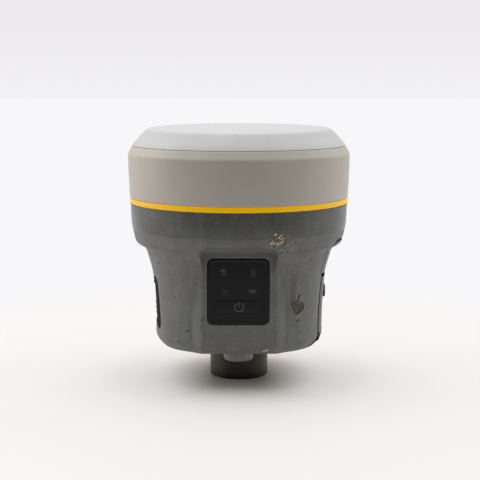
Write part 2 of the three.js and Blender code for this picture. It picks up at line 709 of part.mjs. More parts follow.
// ---------------------------------------------------------------- materials
const material = (color, { roughness, metalness = 0 }) =>
  new THREE.MeshStandardMaterial({ color, roughness, metalness });
const materials = {
  radome: material(0xb9b6ae, { roughness: 0.55 }),
  skirt: material(0xa39d90, { roughness: 0.55 }),
  accent: material(0xe9ab0c, { roughness: 0.45 }),
  housing: material(0x63625f, { roughness: 0.6 }),
  black: material(0x1e1f20, { roughness: 0.45 }),
  rubber: material(0x202020, { roughness: 0.85 }),
  grey: material(0x85868a, { roughness: 0.5 }),
  anodised: material(0x262523, { roughness: 0.4, metalness: 0.6 }),
  steel: material(0xb4b6b8, { roughness: 0.3, metalness: 1 }),
  brass: material(0xb08d4a, { roughness: 0.35, metalness: 1 }),
  aluminium: material(0xb9bcc0, { roughness: 0.4, metalness: 1 }),
  board: material(0x1c5a34, { roughness: 0.5 }),
  ceramic: material(0xd9d4c6, { roughness: 0.7 }),
  gasket: material(0x2b2b2b, { roughness: 0.9 }),
  window: material(0x7c8084, { roughness: 0.3 }),
  cell: material(0x2c3036, { roughness: 0.55 }),
};

// ---------------------------------------------------------------- the assembly
// Mesh name, solid, material key.
const pieces = [
  ["radome_cap", radomeCap(), "radome"],
  ["radome_skirt", radomeSkirt(), "skirt"],
  ["accent_ring", accentRing(), "accent"],
  ["radome_seal", radomeSeal(), "gasket"],
  ["antenna_ground_plane", groundPlane(), "aluminium"],
  ["antenna_board", antennaBoard(), "board"],
  ["lower_patch_antenna", lowerPatch(), "ceramic"],
  ["upper_patch_antenna", upperPatch(), "ceramic"],
  ["amplifier_shield_can", amplifierCan(), "steel"],
  ["antenna_coax", antennaCoax(), "black"],
  ["lower_housing", lowerHousing(), "housing"],
  ["side_fairing", sideFairing(), "housing"],
  ["battery_door", batteryDoor(), "housing"],
  ["door_latch", doorLatch(), "black"],
  ["door_hinge_pin", hingePin(), "steel"],
  ["door_seal", doorSeal(), "rubber"],
  ["battery_bay", batteryBay(), "black"],
  ["battery_pack", batteryPack(), "cell"],
  ["battery_contacts", batteryContacts(), "brass"],
  ["port_cover", portCover(), "rubber"],
  ["round_port", roundPort(), "steel"],
  ["usb_port", usbPort(), "steel"],
  ["keypad_panel", keypadPanel(), "black"],
  ["power_button", powerButton(), "black"],
  ["keypad_gasket", keypadGasket(), "gasket"],
  ...LEDS.map(([name, x, z]) => [name, ledWindow(x, z), "window"]),
  ["keypad_board", keypadBoard(), "board"],
  ["power_switch", powerSwitch(), "black"],
  ["keypad_flex", keypadFlex(), "brass"],
  ["pole_adapter", poleAdapter(), "anodised"],
  ["thread_insert", threadInsert(), "steel"],
  ["adapter_socket", adapterSocket(), "aluminium"],
  ["latch_plate", latchPlate(), "steel"],
  ["release_button", releaseButton(), "grey"],
  ["release_spring", releaseSpring(), "steel"],
  ["antenna_jack", antennaJack(), "brass"],
  ["antenna_jack_nut", jackNut(), "brass"],
  ["antenna_jack_insulator", jackInsulator(), "ceramic"],
  ["radio_coax", radioCoax(), "black"],
  ["vent_plug", ventPlug(), "rubber"],
  ...SCREWS.map(([x, y], i) => [`housing_screw_${i + 1}`, housingScrew(x, y), "steel"]),
  ["rating_plate", ratingPlate(), "aluminium"],
  ["chassis_frame", chassisFrame(), "aluminium"],
  ["main_board", mainBoard(), "board"],
  ["gnss_shield_can", gnssShield(), "steel"],
  ["wireless_module", wirelessModule(), "steel"],
  ["tilt_sensor", tiltSensor(), "black"],
  ["power_board", powerBoard(), "board"],
  ["radio_modem", radioModem(), "steel"],
  ["power_lead", powerLead(), "rubber"],
  ["board_connector", boardConnector(), "black"],
];

const group = new THREE.Group();
for (const [name, shape, key] of pieces) {
  const mesh = new THREE.Mesh(geometryOf(shape), materials[key]);
  mesh.name = name;
  group.add(mesh);
}

export default group;
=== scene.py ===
import math
import bpy
import bmesh
import numpy as np
from mathutils import Vector, Matrix


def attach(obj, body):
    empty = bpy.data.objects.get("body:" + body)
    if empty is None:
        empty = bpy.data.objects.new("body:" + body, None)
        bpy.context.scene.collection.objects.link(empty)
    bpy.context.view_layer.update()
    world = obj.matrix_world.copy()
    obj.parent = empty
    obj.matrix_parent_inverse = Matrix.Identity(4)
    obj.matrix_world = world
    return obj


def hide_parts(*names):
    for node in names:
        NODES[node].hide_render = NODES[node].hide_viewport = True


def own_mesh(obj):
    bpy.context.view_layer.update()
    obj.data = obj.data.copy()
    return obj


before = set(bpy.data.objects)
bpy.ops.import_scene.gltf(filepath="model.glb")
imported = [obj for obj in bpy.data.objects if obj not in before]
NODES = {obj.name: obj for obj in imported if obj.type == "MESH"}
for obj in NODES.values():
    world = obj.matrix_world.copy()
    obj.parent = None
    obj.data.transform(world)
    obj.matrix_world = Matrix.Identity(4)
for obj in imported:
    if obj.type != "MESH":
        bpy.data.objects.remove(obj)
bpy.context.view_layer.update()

MM = 0.001
scene = bpy.context.scene

# ================================================================ shader helpers
class Net:
    """Small helper round a node tree."""

    def __init__(self, tree):
        self.t = tree
        self.x = 0

    def add(self, kind, **props):
        n = self.t.nodes.new(kind)
        n.location = (self.x, 0)
        self.x += 40
        for k, v in props.items():
            if k == "inputs":
                for name, val in v.items():
                    n.inputs[name].default_value = val
            else:
                setattr(n, k, v)
        return n

    def put(self, socket, value):
        if value is None:
            return
        if hasattr(value, "is_linked") or hasattr(value, "links"):
            self.t.links.new(value, socket)
        else:
            socket.default_value = value

    def math(self, op, a, b=None, c=None, clamp=False):
        n = self.add("ShaderNodeMath", operation=op, use_clamp=clamp)
        for i, v in enumerate((a, b, c)):
            if v is not None:
                self.put(n.inputs[i], v)
        return n.outputs[0]

    def vmath(self, op, a, b=None, c=None, out=0):
        n = self.add("ShaderNodeVectorMath", operation=op)
        for i, v in enumerate((a, b, c)):
            if v is not None:
                self.put(n.inputs[i], v)
        return n.outputs[out]

    def mix(self, f, a, b):
        n = self.add("ShaderNodeMix", data_type="RGBA")
        self.put(n.inputs[0], f)
        self.put(n.inputs[6], a)
        self.put(n.inputs[7], b)
        return n.outputs[2]

    def mixf(self, f, a, b):
        n = self.add("ShaderNodeMix", data_type="FLOAT")
        self.put(n.inputs[0], f)
        self.put(n.inputs[2], a)
        self.put(n.inputs[3], b)
        return n.outputs[0]

    def noise(self, vec, scale, detail=3.0, rough=0.5, distortion=0.0):
        n = self.add("ShaderNodeTexNoise")
        self.put(n.inputs["Vector"], vec)
        n.inputs["Scale"].default_value = scale
        n.inputs["Detail"].default_value = detail
        n.inputs["Roughness"].default_value = rough
        n.inputs["Distortion"].default_value = distortion
        return n.outputs["Fac"]

    def voronoi(self, vec, scale, feature="F1"):
        n = self.add("ShaderNodeTexVoronoi", feature=feature)
        self.put(n.inputs["Vector"], vec)
        n.inputs["Scale"].default_value = scale
        return n.outputs["Distance"]

    def ramp(self, f, lo, hi, a=0.0, b=1.0):
        n = self.add("ShaderNodeMapRange", interpolation_type="SMOOTHSTEP")
        self.put(n.inputs[0], f)
        for i, v in ((1, lo), (2, hi), (3, a), (4, b)):
            self.put(n.inputs[i], v)
        return n.outputs[0]

    def scale(self, vec, s):
        return self.vmath("MULTIPLY", vec, s)


def rgb(r, g, b):
    return (r, g, b, 1.0)


def srgb(r, g, b):
    f = lambda c: (c / 255 / 12.92) if c <= 10.3 else ((c / 255 + 0.055) / 1.055) ** 2.4
    return (f(r), f(g), f(b), 1.0)


def surface(name, base, rough, metal=0.0, vary=0.12, vary_scale=45.0, grain=0.10, grain_scale=1400.0,
            rough_var=0.12, scratches=0.0, dust=0.0, dust_color=(0.55, 0.52, 0.46, 1), spec=0.5, coat=0.0, turned=0.0, extra=None,
            brush=None):
    """A procedural surface: colour drift, fine grain in the bump, uneven roughness, hair scratches, dust and turning marks."""
    m = bpy.data.materials.new(name)
    m.use_nodes = True
    t = m.node_tree
    t.nodes.clear()
    N = Net(t)
    out = N.add("ShaderNodeOutputMaterial")
    bsdf = N.add("ShaderNodeBsdfPrincipled")
    t.links.new(bsdf.outputs[0], out.inputs[0])
    co = N.add("ShaderNodeTexCoord").outputs["Object"]
    n_big = N.noise(co, vary_scale, 4, 0.55)
    n_mid = N.noise(co, vary_scale * 7, 4, 0.6)
    drift = N.math("ADD", N.math("MULTIPLY", N.math("SUBTRACT", n_big, 0.5), 1.4), N.math("MULTIPLY", N.math("SUBTRACT", n_mid, 0.5), 0.7))
    gain = N.math("ADD", 1.0, N.math("MULTIPLY", drift, vary))
    cm = N.add("ShaderNodeVectorMath", operation="SCALE")
    cm.inputs[0].default_value = base[:3]
    N.put(cm.inputs["Scale"], gain)
    color = cm.outputs[0]
    r = N.math("ADD", rough, N.math("MULTIPLY", N.math("SUBTRACT", n_mid, 0.5), rough_var * 2), clamp=True)
    height = N.math("MULTIPLY", N.noise(co, grain_scale, 3, 0.6), 1.0)
    if brush is not None:
        lines = N.noise(N.scale(co, brush), 1.0, 3, 0.6)
        height = N.math("ADD", height, N.math("MULTIPLY", lines, 1.2))
        r = N.math("ADD", r, N.math("MULTIPLY", N.math("SUBTRACT", lines, 0.5), 0.25), clamp=True)
    if turned:
        sep = N.add("ShaderNodeSeparateXYZ")
        t.links.new(co, sep.inputs[0])
        rings = N.noise(N.scale(co, (4.0, 4.0, turned)), 1.0, 2, 0.6)
        height = N.math("ADD", height, N.math("MULTIPLY", rings, 1.3))
        r = N.math("ADD", r, N.math("MULTIPLY", N.math("SUBTRACT", rings, 0.5), 0.2), clamp=True)
    if scratches:
        s1 = N.noise(N.scale(co, (420, 420, 28)), 1.0, 2, 0.5, 0.6)
        s2 = N.noise(N.scale(co, (36, 60, 620)), 1.0, 2, 0.5, 0.8)
        gate = N.ramp(N.noise(co, 60, 2), 0.52, 0.66)
        hair = N.math("MULTIPLY", N.math("MAXIMUM", N.ramp(s1, 0.70, 0.76), N.ramp(s2, 0.70, 0.76)), gate)
        color = N.mix(N.math("MULTIPLY", hair, scratches), color, rgb(*[min(1, c * 1.5 + 0.06) for c in base[:3]]))
        r = N.math("ADD", r, N.math("MULTIPLY", hair, 0.08), clamp=True)
        height = N.math("SUBTRACT", height, N.math("MULTIPLY", hair, 0.6))
    if dust:
        nrm = N.add("ShaderNodeNewGeometry").outputs["Normal"]
        sz = N.add("ShaderNodeSeparateXYZ")
        t.links.new(nrm, sz.inputs[0])
        up = N.ramp(sz.outputs[2], -0.2, 1.0, 0.35, 1.0)
        d = N.math("MULTIPLY", N.math("MULTIPLY", N.ramp(N.noise(co, 130, 6, 0.7), 0.42, 0.75), up), dust)
        color = N.mix(d, color, dust_color)
        r = N.math("ADD", r, N.math("MULTIPLY", d, 0.3), clamp=True)
    bump = N.add("ShaderNodeBump")
    bump.inputs["Strength"].default_value = grain
    bump.inputs["Distance"].default_value = 0.00025
    ctx = dict(N=N, co=co, color=color, rough=r, height=height, bsdf=bsdf, tree=t)
    if extra:
        extra(ctx)
    N.put(bump.inputs["Height"], ctx["height"])
    N.put(bsdf.inputs["Base Color"], ctx["color"])
    N.put(bsdf.inputs["Roughness"], ctx["rough"])
    bsdf.inputs["Metallic"].default_value = metal
    bsdf.inputs["Specular IOR Level"].default_value = spec
    bsdf.inputs["Coat Weight"].default_value = coat
    bsdf.inputs["Coat Roughness"].default_value = 0.25
    t.links.new(bump.outputs[0], bsdf.inputs["Normal"])
    if ctx.get("metal") is not None:
        N.put(bsdf.inputs["Metallic"], ctx["metal"])
    return m


def spot(ctx, centre, radii, wobble=0.35, freq=260.0, soft=0.18, seed=0.0):
    """1 inside an irregular patch round a point (millimetres), 0 outside."""
    N, co = ctx["N"], ctx["co"]
    p = N.vmath("SUBTRACT", co, tuple(c * MM for c in centre))
    q = N.vmath("MULTIPLY", p, tuple(1.0 / (r * MM) for r in radii))
    d = N.vmath("LENGTH", q, out=1)
    n = N.noise(N.vmath("ADD", co, (seed, seed * 0.7, -seed)), freq, 5, 0.65)
    d = N.math("ADD", d, N.math("MULTIPLY", N.math("SUBTRACT", n, 0.5), wobble * 4))
    return N.ramp(d, 1.0 - soft, 1.0 + soft, 1.0, 0.0)


def fleck(ctx, x, z, a, b, turn=0.0, wobble=0.25, freq=900.0, soft=0.25, seed=0.0):
    """1 inside a long mark on the front, centred at x, z (millimetres), a along its length and b across, turned by degrees."""
    N, co = ctx["N"], ctx["co"]
    c, s = math.cos(math.radians(turn)), math.sin(math.radians(turn))
    p = N.vmath("SUBTRACT", co, (x * MM, -0.045, z * MM))
    u = N.vmath("DOT_PRODUCT", p, (c / (a * MM), 0, s / (a * MM)), out=1)
    v = N.vmath("DOT_PRODUCT", p, (-s / (b * MM), 0, c / (b * MM)), out=1)
    d = N.math("SQRT", N.math("ADD", N.math("MULTIPLY", u, u), N.math("MULTIPLY", v, v)))
    n = N.noise(N.vmath("ADD", co, (seed, -seed, seed * 0.5)), freq, 4, 0.65)
    d = N.math("ADD", d, N.math("MULTIPLY", N.math("SUBTRACT", n, 0.5), wobble * 4))
    y = N.add("ShaderNodeSeparateXYZ")
    ctx["tree"].links.new(co, y.inputs[0])
    return N.math("MULTIPLY", N.ramp(d, 1.0 - soft, 1.0 + soft, 1.0, 0.0), N.math("LESS_THAN", y.outputs[1], -0.02))


def many(ctx, marks, **kw):
    """The union of several marks."""
    N, out = ctx["N"], None
    for i, m in enumerate(marks):
        f = fleck(ctx, *m, seed=0.37 * i, **kw)
        out = f if out is None else N.math("MAXIMUM", out, f)
    return out


# ================================================================ mesh helpers (millimetres in, metres out)
def mesh_object(name, verts, faces, material, smooth=True, angle=None):
    me = bpy.data.meshes.new(name)
    v = np.asarray(verts, float) * MM
    me.from_pydata(v.tolist(), [], [list(map(int, f)) for f in faces])
    me.update()
    o = bpy.data.objects.new(name, me)
    scene.collection.objects.link(o)
    if material is not None:
        me.materials.append(material)
    for p in me.polygons:
        p.use_smooth = smooth
    if angle is not None:
        sharp_by_angle(me, angle)
    return o


def sharp_by_angle(me, degrees):
    bm = bmesh.new()
    bm.from_mesh(me)
    for e in bm.edges:
        if len(e.link_faces) == 2:
            e.smooth = e.calc_face_angle(0.0) < math.radians(degrees)
    bm.to_mesh(me)
    bm.free()


def fix_normals(o):
    bm = bmesh.new()
    bm.from_mesh(o.data)
    bmesh.ops.remove_doubles(bm, verts=bm.verts, dist=2e-6)
    bmesh.ops.recalc_face_normals(bm, faces=bm.faces)
    bm.to_mesh(o.data)
    bm.free()


def grid_faces(nu, nv, close_u=False, flip=False, keep=None):
    """Quads of an nu x nv grid stored as i * nv + j."""
    iu = np.arange(nu if close_u else nu - 1)
    jv = np.arange(nv - 1)
    I, J = np.meshgrid(iu, jv, indexing="ij")
    I, J = I.ravel(), J.ravel()
    I2 = (I + 1) % nu
    f = np.stack([I * nv + J, I2 * nv + J, I2 * nv + J + 1, I * nv + J + 1], 1)
    if flip:
        f = f[:, ::-1]
    if keep is not None:
        f = f[keep.ravel()]
    return f


def lathe(name, profile, material, seg=256, radii=None, centre=(0, 0), smooth_angle=35, mod=None):
    """A turned piece from (radius, height) pairs. radii rounds each corner. A closed or axis-to-axis profile."""
    pts = round_corners(profile, radii) if radii is not None else profile
    pts = np.array(pts, float)
    n = len(pts)
    a = np.linspace(0, 2 * math.pi, seg, endpoint=False)
    closed = np.allclose(pts[0], pts[-1])
    if closed:
        pts = pts[:-1]
        n -= 1
    R, A = np.meshgrid(pts[:, 0], a)
    Z = np.tile(pts[:, 1], (seg, 1))
    if mod is not None:
        R, Z = mod(R, A, Z)
    V = np.stack([centre[0] + R * np.cos(A), centre[1] + R * np.sin(A), Z], -1).reshape(-1, 3)
    F = grid_faces(seg, n, close_u=True)
    if closed:
        i = np.arange(seg)
        i2 = (i + 1) % seg
        F = np.concatenate([F, np.stack([i * n + n - 1, i2 * n + n - 1, i2 * n, i * n], 1)])
    o = mesh_object(name, V, F, material)
    fix_normals(o)
    o.data.update()
    sharp_by_angle(o.data, smooth_angle)
    for p in o.data.polygons:
        p.use_smooth = True
    return o


def round_corners(pts, r, steps=4):
    """Each inner corner of an open polyline replaced by a small arc. r is a number or a list with one for each point."""
    pts = [np.array(p, float) for p in pts]
    closed = np.allclose(pts[0], pts[-1])
    if closed:
        pts = pts[:-1]
    n = len(pts)
    rr = [r] * n if not hasattr(r, "__len__") else list(r)
    out = []
    for i in range(n):
        if not closed and i in (0, n - 1):
            out.append(pts[i])
            continue
        a, b, c = pts[i - 1], pts[i], pts[(i + 1) % n]
        u, w = a - b, c - b
        lu, lw = np.linalg.norm(u), np.linalg.norm(w)
        if lu < 1e-9 or lw < 1e-9 or rr[i] <= 0:
            out.append(b)
            continue
        u, w = u / lu, w / lw
        cosang = float(np.clip(u @ w, -1, 1))
        half = math.acos(cosang) / 2
        if half > math.pi / 2 - 0.02:
            out.append(b)
            continue
        d = min(rr[i] / math.tan(half), 0.45 * lu, 0.45 * lw)
        p0, p1 = b + u * d, b + w * d
        for k in range(steps + 1):
            t = k / steps
            out.append((1 - t) ** 2 * p0 + 2 * t * (1 - t) * b + t * t * p1)
    if closed:
        out.append(out[0])
    return out


def rounded_loop(w, h, r, n=8):
    """Points round a rounded rectangle centred on 0, 0."""
    out = []
    for cx, cy, a0 in ((w / 2 - r, h / 2 - r, 0), (-w / 2 + r, h / 2 - r, 90), (-w / 2 + r, -h / 2 + r, 180), (w / 2 - r, -h / 2 + r, 270)):
        for k in range(n + 1):
            a = math.radians(a0 + 90 * k / n)
            out.append((cx + r * math.cos(a), cy + r * math.sin(a)))
    return out


def plate(name, loop, levels, material, frame_axes="xz", place=(0, 0, 0), angle=40, close=True):
    """A piece built from one outline offset through several levels: levels is a list of (inset, depth), the outline shrunk by inset and put at depth.
    frame_axes 'xz' draws in x, z with depth along y; 'yz' in y, z with depth along x; 'xy' in x, y with depth along z."""
    L = np.array(loop, float)
    nxt, prv = np.roll(L, -1, 0), np.roll(L, 1, 0)
    tan = nxt - prv
    tan /= np.maximum(np.linalg.norm(tan, axis=1, keepdims=True), 1e-9)
    nor = np.stack([tan[:, 1], -tan[:, 0]], 1)
    area = 0.5 * np.sum(L[:, 0] * nxt[:, 1] - nxt[:, 0] * L[:, 1])
    if area < 0:
        nor = -nor
    n = len(L)
    V, F = [], []
    for inset, depth in levels:
        q = L - nor * inset
        d = np.full(n, depth)
        if frame_axes == "xz":
            V.append(np.stack([q[:, 0], d, q[:, 1]], 1))
        elif frame_axes == "yz":
            V.append(np.stack([d, q[:, 0], q[:, 1]], 1))
        else:
            V.append(np.stack([q[:, 0], q[:, 1], d], 1))
    for k in range(len(levels) - 1):
        for i in range(n):
            j = (i + 1) % n
            F.append([k * n + i, k * n + j, (k + 1) * n + j, (k + 1) * n + i])
    if close:
        F.append(list(range(n)))
        F.append([(len(levels) - 1) * n + i for i in range(n)])
    V = np.concatenate(V) + np.array(place, float)
    o = mesh_object(name, V, F, material)
    fix_normals(o)
    sharp_by_angle(o.data, angle)
    for p in o.data.polygons:
        p.use_smooth = True
    return o


def box_solid(name, lo, hi, bevel, material, seg=3):
    """A moulded block with rounded edges."""
    me = bpy.data.meshes.new(name)
    bm = bmesh.new()
    bmesh.ops.create_cube(bm, size=1.0)
    lo, hi = np.array(lo, float), np.array(hi, float)
    c, s = (lo + hi) / 2 * MM, (hi - lo) * MM
    bmesh.ops.scale(bm, vec=Vector(s), verts=bm.verts)
    bmesh.ops.translate(bm, vec=Vector(c), verts=bm.verts)
    if bevel:
        bmesh.ops.bevel(bm, geom=bm.edges[:] + bm.verts[:], offset=bevel * MM, segments=seg, profile=0.5, affect="EDGES")
    bm.to_mesh(me)
    bm.free()
    o = bpy.data.objects.new(name, me)
    scene.collection.objects.link(o)
    if material is not None:
        me.materials.append(material)
    for p in me.polygons:
        p.use_smooth = True
    sharp_by_angle(me, 50)
    return o


def join(name, objs):
    """One object from several."""
    bm = bmesh.new()
    mats = []
    for o in objs:
        base = len(bm.faces)
        me = o.data.copy()
        me.transform(o.matrix_world)
        bm.from_mesh(me)
        bm.faces.ensure_lookup_table()
        remap = []
        for mt in o.data.materials:
            if mt not in mats:
                mats.append(mt)
            remap.append(mats.index(mt))
        for f in bm.faces[base:]:
            f.material_index = remap[f.material_index] if remap else 0
        bpy.data.meshes.remove(me)
    me = bpy.data.meshes.new(name)
    bm.to_mesh(me)
    bm.free()
    for mt in mats:
        me.materials.append(mt)
    for o in objs:
        bpy.data.objects.remove(o)
    o = bpy.data.objects.new(name, me)
    scene.collection.objects.link(o)
    return o


def boolean(target, cutters, op="DIFFERENCE"):
    for c in cutters:
        m = target.modifiers.new("cut", "BOOLEAN")
        m.operation = op
        m.solver = "EXACT"
        m.object = c
    dg = bpy.context.evaluated_depsgraph_get()
    dg.update()
    me = bpy.data.meshes.new_from_object(target.evaluated_get(dg))
    target.modifiers.clear()
    old = target.data
    target.data = me
    bpy.data.meshes.remove(old)
    for c in cutters:
        bpy.data.objects.remove(c)
    return target


def soft_step(x):
    x = np.clip(x, 0, 1)
    return x * x * (3 - 2 * x)


def smax(a, b, k):
    h = np.clip(0.5 + 0.5 * (a - b) / k, 0, 1)
    return b + (a - b) * h + k * h * (1 - h)


def smin(a, b, k):
    return -smax(-a, -b, k)


def rrect(u, v, cu, cv, hu, hv, r):
    """Signed distance to a rounded rectangle, negative inside."""
    qx, qy = np.abs(u - cu) - hu + r, np.abs(v - cv) - hv + r
    return np.hypot(np.maximum(qx, 0), np.maximum(qy, 0)) + np.minimum(np.maximum(qx, qy), 0) - r


def edge_drop(sd, r):
    """How far a surface turns in within r of an edge at distance sd."""
    s = np.clip(sd, 0, r)
    return r - np.sqrt(np.maximum(r * r - (r - s) ** 2, 0))


def samples(lo, hi, ds, edges=(), near=(0.02, 0.15, 0.3, 0.5, 0.8)):
    base = list(np.linspace(lo, hi, int(round((hi - lo) / ds)) + 1))
    for e in edges:
        for d in near:
            base += [e - d, e + d]
    a = np.unique(np.round([x for x in base if lo <= x <= hi], 4))
    keep = [a[0]]
    for x in a[1:]:
        if x - keep[-1] > 0.025:
            keep.append(x)
    keep[-1] = a[-1]
    return np.array(keep)


# ================================================================ the housing's form
OUTER = [
    (41.3, 19.8), (42.6, 21.1), (44.1, 23.1), (44.8, 24.8), (44.95, 26.5), (44.8, 29), (44.9, 35), (45.15, 41), (45.6, 48), (45.95, 53), (46.15, 55.5),
    (46.55, 58.8), (47.35, 62.1), (48.2, 65.0), (49.0, 67.6), (49.7, 69.8), (50.5, 71.3), (52.0, 72.45), (54.6, 73.45), (55.7, 74.4), (56.15, 75.8),
    (56.75, 78.6), (57.3, 81.0), (57.65, 82.8), (57.9, 85), (58.1, 88), (58.3, 95.0),
]
_z = np.arange(12.0, 100.0, 0.05)
_r = np.interp(_z, [p[1] for p in OUTER], [p[0] for p in OUTER])
_k = np.exp(-0.5 * (np.arange(-40, 41) * 0.05 / 0.32) ** 2)
_r = np.convolve(np.pad(_r, 40, mode="edge"), _k / _k.sum(), mode="valid")
_lowfix = np.interp(_z, [19.8, 21.4], [0, 1])
_r = _r * _lowfix + np.interp(_z, [p[1] for p in OUTER], [p[0] for p in OUTER]) * (1 - _lowfix)


_g = np.exp(-0.5 * (np.arange(-200, 201) * 0.05 / 2.6) ** 2)
_soft = np.convolve(np.pad(_r, 200, mode="edge"), _g / _g.sum(), mode="valid")
_mix = np.interp(_z, [58, 64, 82, 88], [0, 1, 1, 0])
_soft = _r * (1 - _mix) + _soft * _mix


def half_width(z, soft=0.0):
    """Half width of the body, with its stepped flare (soft 0) or with the flare drawn out into one curve (soft 1)."""
    return np.interp(z, _z, _r) * (1 - soft) + np.interp(z, _z, _soft) * soft


_EZ = [19.8, 50, 58.8, 65.4, 70.4, 72, 73.8, 75, 136]
_EN = [2.62, 2.63, 2.66, 2.57, 2.45, 2.3, 2.08, 2.0, 2.0]


def exponent(z):
    return np.interp(z, _EZ, _EN)


def outer_side(t, z, soft=0.0):
    """Distance of the skin from the centre plane at t along a side."""
    a, n = half_width(z, soft), exponent(z)
    return a * np.clip(1 - (np.abs(t) / a) ** n, 1e-6, 1) ** (1 / n)


def outer_polar(th, z):
    c = np.clip((np.abs(np.cos(th)) - 0.66) / 0.18, 0, 1)
    a, n = half_width(z, 1 - c * c * (3 - 2 * c)), exponent(z)
    return a * (np.abs(np.cos(th)) ** n + np.abs(np.sin(th)) ** n) ** (-1 / n)


PAD_Y, PAD_HALF, PAD_FOOT = 45.5, 19.4, 23.4
DOOR_HW, DOOR_Z = 22.8, 58.1
FAIR_TOP = 76.7
PORT_Z = 42.85
KX, KZ = -0.3, 53.0


def front_height(x, z, hood=True):
    o = outer_side(x, z, 1.0)
    ax = np.abs(x)
    pad = np.where(ax < PAD_HALF, PAD_Y, PAD_Y - (ax - PAD_HALF) * (PAD_Y - 42.1) / (PAD_FOOT - PAD_HALF))
    pad = np.where(ax > PAD_FOOT, 42.1 - (ax - PAD_FOOT) * 2.2, pad)
    # the pad's own edge is soft
    pad = pad - 0.18 * np.exp(-((ax - PAD_HALF) / 0.9) ** 2)
    fade = np.interp(z, [19.8, 21.3, 24.6, 28.5, 33], [-4.2, -2.9, -0.8, 0.0, 0.0])
    h = smax(o, pad + fade, 0.7)
    if hood:
        sd = rrect(x, z, 0, 74.9 - 45, PAD_HALF + 0.3, 45, 3.4)
        wall = PAD_Y + 2.4 * np.maximum(sd + 1.5, 0)
        h = smin(h, wall, 1.1)
    return h


def fair_sd(y, z):
    hw = np.interp(z, [58, 58.6, 60.4, 66], [DOOR_HW + 0.4, DOOR_HW + 0.9, 25.2, 25.5])
    side = np.abs(y) - hw
    top = rrect(y, z, 0, FAIR_TOP - 30, 25.5, 30, 5.0)
    return np.where(z > FAIR_TOP - 5, top, side)


def pocket(h, sd, floor, wall=0.25, rnd=0.45):
    """h with a pocket: floor inside sd < 0, rounded lip outside."""
    h2 = h - edge_drop(sd, rnd) * (sd > -0.001)
    return np.where(sd < -wall, floor, np.where(sd < 0, floor + (h2 - rnd - floor) * soft_step(1 + sd / wall), h2))


def side_plus(y, z):
    o = outer_side(y, z)
    h = o
    f = fair_sd(y, z)
    inside_f = (f < 0) & (z > DOOR_Z)
    h = pocket(h, f + 0 * z, o - 2.6, 0.2, 0.5) if np.ndim(z) else h
    low = z < DOOR_Z
    d = np.abs(y) - DOOR_HW
    floor = np.where(z > 26.2, 39.5, np.where(np.abs(y) < 16.3, 38.2, 42.6))
    hd = pocket(o, d, floor, 0.2, 0.5)
    h = np.where(low, np.minimum(hd, o), h)
    # keeper notch
    notch = (np.abs(y) < 5.8) & (z >= DOOR_Z - 0.1) & (z < 59.6)
    h = np.where(notch, 39.5, h)
    return h


def side_minus(y, z):
    o = outer_side(y, z)
    h = pocket(o, rrect(y, z, 0, PORT_Z, 23.6, 13.85, 3.4), 39.8, 0.2, 0.5)
    bay = rrect(y, z, 0, PORT_Z, 19, 10, 3.0)
    return np.where(bay < 0, np.where(bay > -0.2, 36.4 + (h - 36.4) * soft_step(1 + bay / 0.2), 36.4), h)


def back_height(x, z):
    h = front_height(x, z, hood=False)
    return pocket(h, rrect(x, z, 0, 47, 15.2, 11.2, 2.0), 45.0, 0.2, 0.3)


def face_height(x, z):
    h = front_height(x, z)
    return pocket(h, rrect(x, z, KX, KZ, 16.0, 17.3, 3.3), 43.4, 0.2, 0.35)


